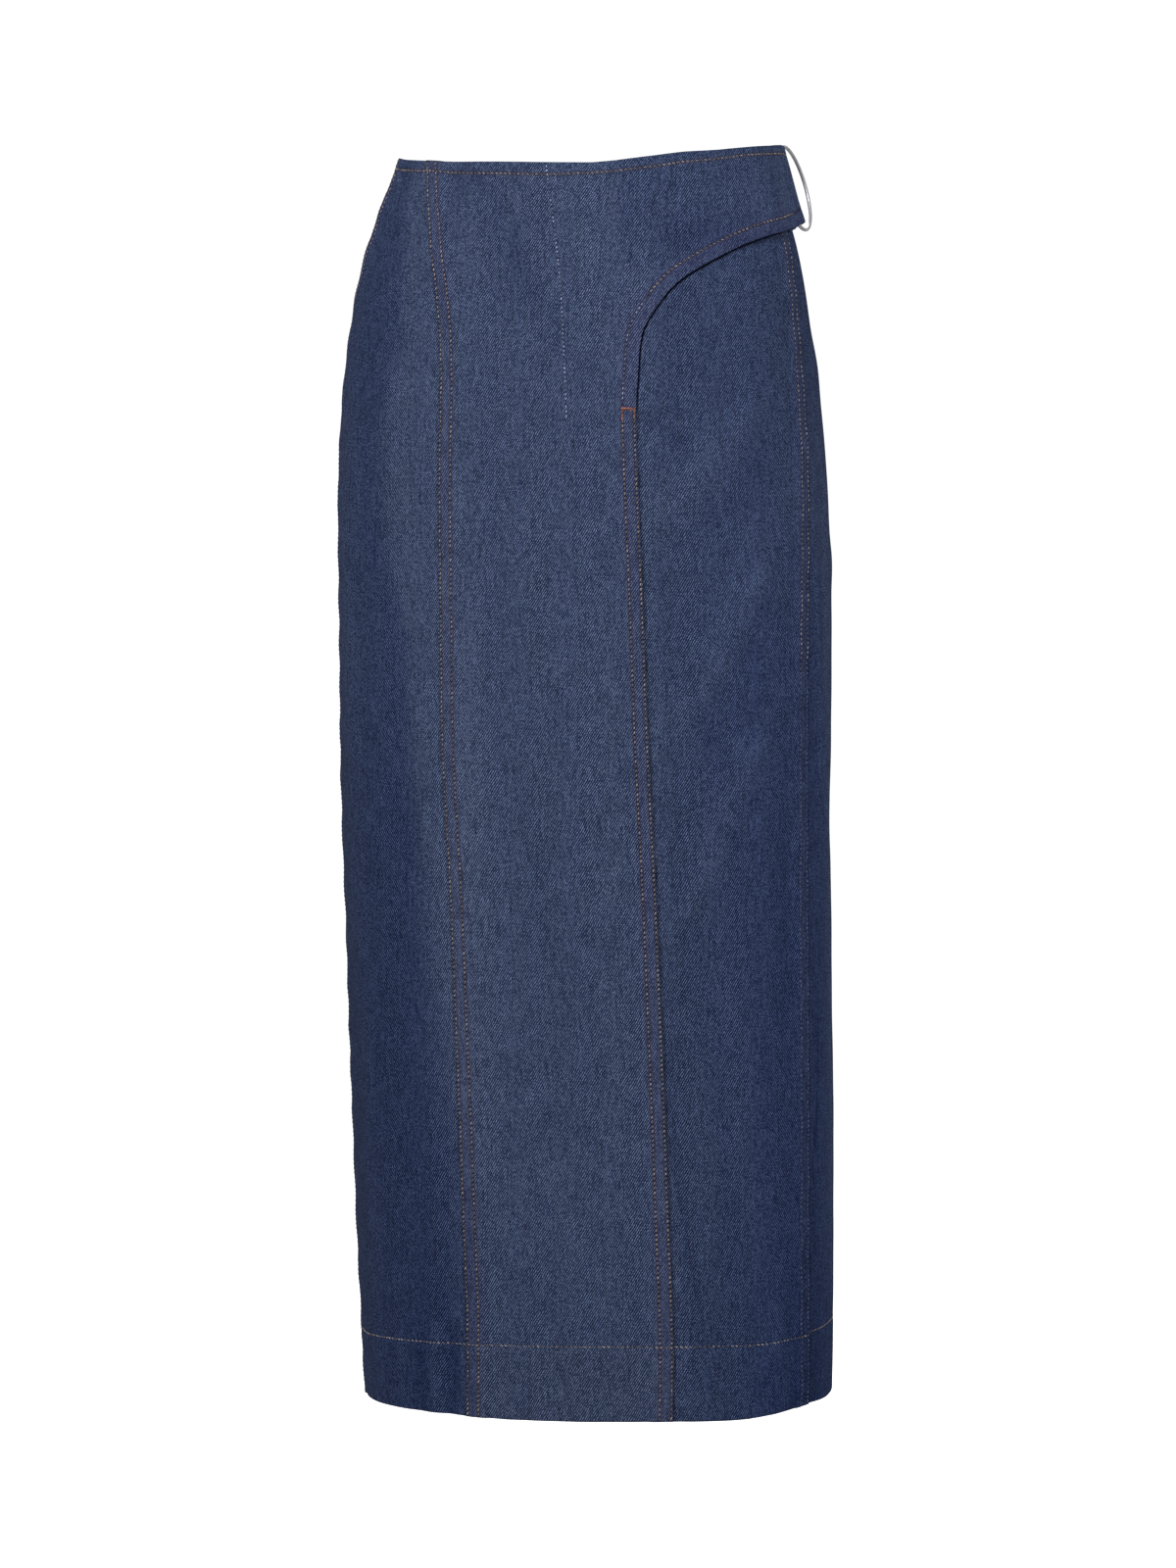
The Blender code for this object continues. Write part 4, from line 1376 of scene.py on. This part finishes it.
tack = stitches("bar_tack", [
    centre_path([(56.6, tack_z), (66.2, tack_z)]),
    centre_path([(56.8, tack_z - 1.1), (66.4, tack_z - 1.1)]),
    centre_path([(57.4, tack_z + 0.2), (57.4, tack_z - 8.0)]),
    centre_path([(65.4, tack_z + 0.2), (65.4, tack_z - 8.0)]),
], TACK, thick=0.46, pitch=1.9, fill=1.05, sink=0.12, proud=0.26, slant=0.0)

left_rows = stitches("left_stitching", [
    seam_path(side_left, left_side, STITCH_OUT, -849.2, -0.6),
    seam_path(side_left, left_side, STITCH_IN, -849.2, -0.6),
    level_path(side_left, hem_row, float(left_side(HEM_ROW)) + 0.4, float(left_front(HEM_ROW)) - 0.4),
    level_path(side_left, lambda s: -waist_row_depth(s), -145.5, -97.2),
], THREAD)
right_rows = stitches("right_stitching", [
    seam_path(side_right, right_side, -STITCH_OUT, -335.0, -0.6),
    seam_path(side_right, right_side, -STITCH_IN, -335.0, -0.6),
    level_path(side_right, lambda s: -waist_row_depth(s), 61.0, 175.5),
], HALF_SHADE_THREAD)
right_hem = stitches("right_hem_stitching", [
    level_path(side_right, hem_row, float(right_front(HEM_ROW)) + 0.4, float(right_side(HEM_ROW)) - 0.4),
], THREAD)
dim_rows = stitches("dim_stitching", [
    seam_path(side_right, right_side, -STITCH_OUT, -849.2, -336.0),
    seam_path(side_right, right_side, -STITCH_IN, -849.2, -336.0),
], DIM, thick=0.32, sink=0.32, proud=0.08)
half_hem = float(half_round(HEM_ROW))
half_top = float(half_round(-7.0))
back_rows = stitches("back_stitching", [
    seam_path(back_left, back_from_left, STITCH_OUT, -849.2, -0.6),
    seam_path(back_left, back_from_left, STITCH_IN, -849.2, -0.6),
    level_path(back_left, hem_row, -half_hem + 0.4, float(left_side(HEM_ROW)) - 0.6),
    level_path(back_right, hem_row, float(right_side(HEM_ROW)) + 0.6, half_hem - 0.4),
    level_path(back_left, -7.0, -half_top + 0.4, float(left_side(-7.0)) - 0.6),
    level_path(back_right, -7.0, float(right_side(-7.0)) + 0.6, half_top - 0.4),
], THREAD)


# ---------------------------------------------------------------- ring
def ring_mesh():
    normal = np.array([1.0, HANG_IN, HANG_LEAN])
    normal /= np.linalg.norm(normal)
    along = np.array([-HANG_IN, 1.0, 0.0])
    along /= np.linalg.norm(along)
    upward = np.cross(normal, along)
    middle = np.array([HANG_X + HANG_LEAN * (HANG_Z - RING_Z) - HANG_IN * (RING_Y - HANG_Y),
                       RING_Y, RING_Z]) - FOLD_R * normal
    n, m = 200, 24
    verts, faces = [], []
    for i in range(n):
        a = 2 * math.pi * i / n
        spoke = math.cos(a) * along + math.sin(a) * upward
        # the joint of the wire, a hair thicker, at the hidden side
        thick = WIRE_R * (1 + 0.02 * math.exp(-((a - math.pi) / 0.03) ** 2))
        for j in range(m):
            b = 2 * math.pi * j / m
            p = middle + spoke * (RING_R + thick * math.cos(b)) + normal * thick * math.sin(b)
            verts.append(p * MM)
    for i in range(n):
        for j in range(m):
            i2, j2 = (i + 1) % n, (j + 1) % m
            faces.append([i * m + j, i2 * m + j, i2 * m + j2, i * m + j2])
    return plain_mesh("ring_wire", verts, faces, METAL)


ring = ring_mesh()

# ---------------------------------------------------------------- what stands for what
for node, piece in shells.items():
    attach(piece, "root")
    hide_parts(node)
for piece in (front_rows, faint_rows, dart_rows, dart_end, tack, left_rows, right_rows, right_hem,
              dim_rows, back_rows):
    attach(piece, "root")
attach(ring, "root")
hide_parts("ring")

# ---------------------------------------------------------------- floor, light, camera
scene = bpy.context.scene
scene.view_settings.view_transform = "Standard"
scene.view_settings.look = "None"
scene.cycles.denoising_prefilter = "NONE"      # keeps the weave, which is finer than a pixel


def floor_material():
    """Pale floor that is as bright as the backdrop where the camera sees it."""
    g = Nodes("pale floor")
    g.shader.inputs["Base Color"].default_value = (0.55, 0.55, 0.55, 1)
    g.shader.inputs["Roughness"].default_value = 0.9
    g.shader.inputs["Specular IOR Level"].default_value = 0.0
    g.shader.inputs["Emission Color"].default_value = (1, 1, 1, 1)
    seen = g.tree.nodes.new("ShaderNodeLightPath")
    g.put(g.shader.inputs["Emission Strength"], g.mul(seen.outputs["Is Camera Ray"], 1.0))
    return g.mat


bpy.ops.mesh.primitive_plane_add(size=8.0, location=(0, 0.5, -1.30))
floor = bpy.context.object
floor.name = "floor"
floor.data.materials.append(floor_material())

world = bpy.data.worlds.new("studio")
scene.world = world
world.use_nodes = True
tree = world.node_tree
background = tree.nodes["Background"]
background.inputs["Color"].default_value = (1.0, 1.0, 1.0, 1.0)
background.inputs["Strength"].default_value = 0.085
white = tree.nodes.new("ShaderNodeBackground")
white.inputs["Color"].default_value = (1.0, 1.0, 1.0, 1.0)
white.inputs["Strength"].default_value = 1.05
path = tree.nodes.new("ShaderNodeLightPath")
blend = tree.nodes.new("ShaderNodeMixShader")
seen = tree.nodes.new("ShaderNodeMath")
seen.operation = "MAXIMUM"
tree.links.new(path.outputs["Is Camera Ray"], seen.inputs[0])
mirrored = tree.nodes.new("ShaderNodeMath")
mirrored.operation = "MULTIPLY"
mirrored.inputs[1].default_value = 0.55
tree.links.new(path.outputs["Is Glossy Ray"], mirrored.inputs[0])
tree.links.new(mirrored.outputs[0], seen.inputs[1])
tree.links.new(seen.outputs[0], blend.inputs[0])
tree.links.new(background.outputs[0], blend.inputs[1])
tree.links.new(white.outputs[0], blend.inputs[2])
tree.links.new(blend.outputs[0], tree.nodes["World Output"].inputs["Surface"])


def area(name, place, aim, size, power, colour=(1, 1, 1)):
    light = bpy.data.lights.new(name, "AREA")
    light.shape = "RECTANGLE"
    light.size, light.size_y = size
    light.energy = power
    light.color = colour
    obj = bpy.data.objects.new(name, light)
    scene.collection.objects.link(obj)
    obj.location = place
    back = np.array(place, float) - np.array(aim, float)
    back /= np.linalg.norm(back)
    from mathutils import Vector
    obj.rotation_euler = Vector(back).to_track_quat("Z", "Y").to_euler()
    return obj


area("key", (-0.05, -2.65, 1.50), (0, 0, 0.05), (1.2, 1.2), 90)
side = area("right", (3.0, 0.4, 0.9), (0, 0, 0.0), (0.9, 1.3), 34)
side.visible_glossy = False                    # no hot streak along the ring's wire
area("back", (-0.9, 3.2, 1.3), (0, 0, -0.3), (1.6, 1.6), 62)
area("left", (-2.6, 2.1, 1.0), (0, 0, -0.3), (1.0, 1.4), 16)

camera_data = bpy.data.cameras.new("camera")
camera = bpy.data.objects.new("camera", camera_data)
scene.collection.objects.link(camera)
scene.camera = camera
AZ = math.radians(15.0)
PITCH_DOWN = math.radians(4.7087)
DISTANCE = 4.2
right = np.array([math.cos(AZ), math.sin(AZ), 0])
ahead = np.array([-math.sin(AZ), math.cos(AZ), 0])
spot = -DISTANCE * ahead + 0.001012 * right + np.array([0, 0, -0.08])
camera.location = spot.tolist()
camera.rotation_euler = (math.pi / 2 - PITCH_DOWN, 0, AZ)
camera_data.sensor_fit = "AUTO"
camera_data.sensor_width = 36.0
camera_data.lens = 140.067
camera_data.clip_start = 0.1
camera_data.clip_end = 60.0
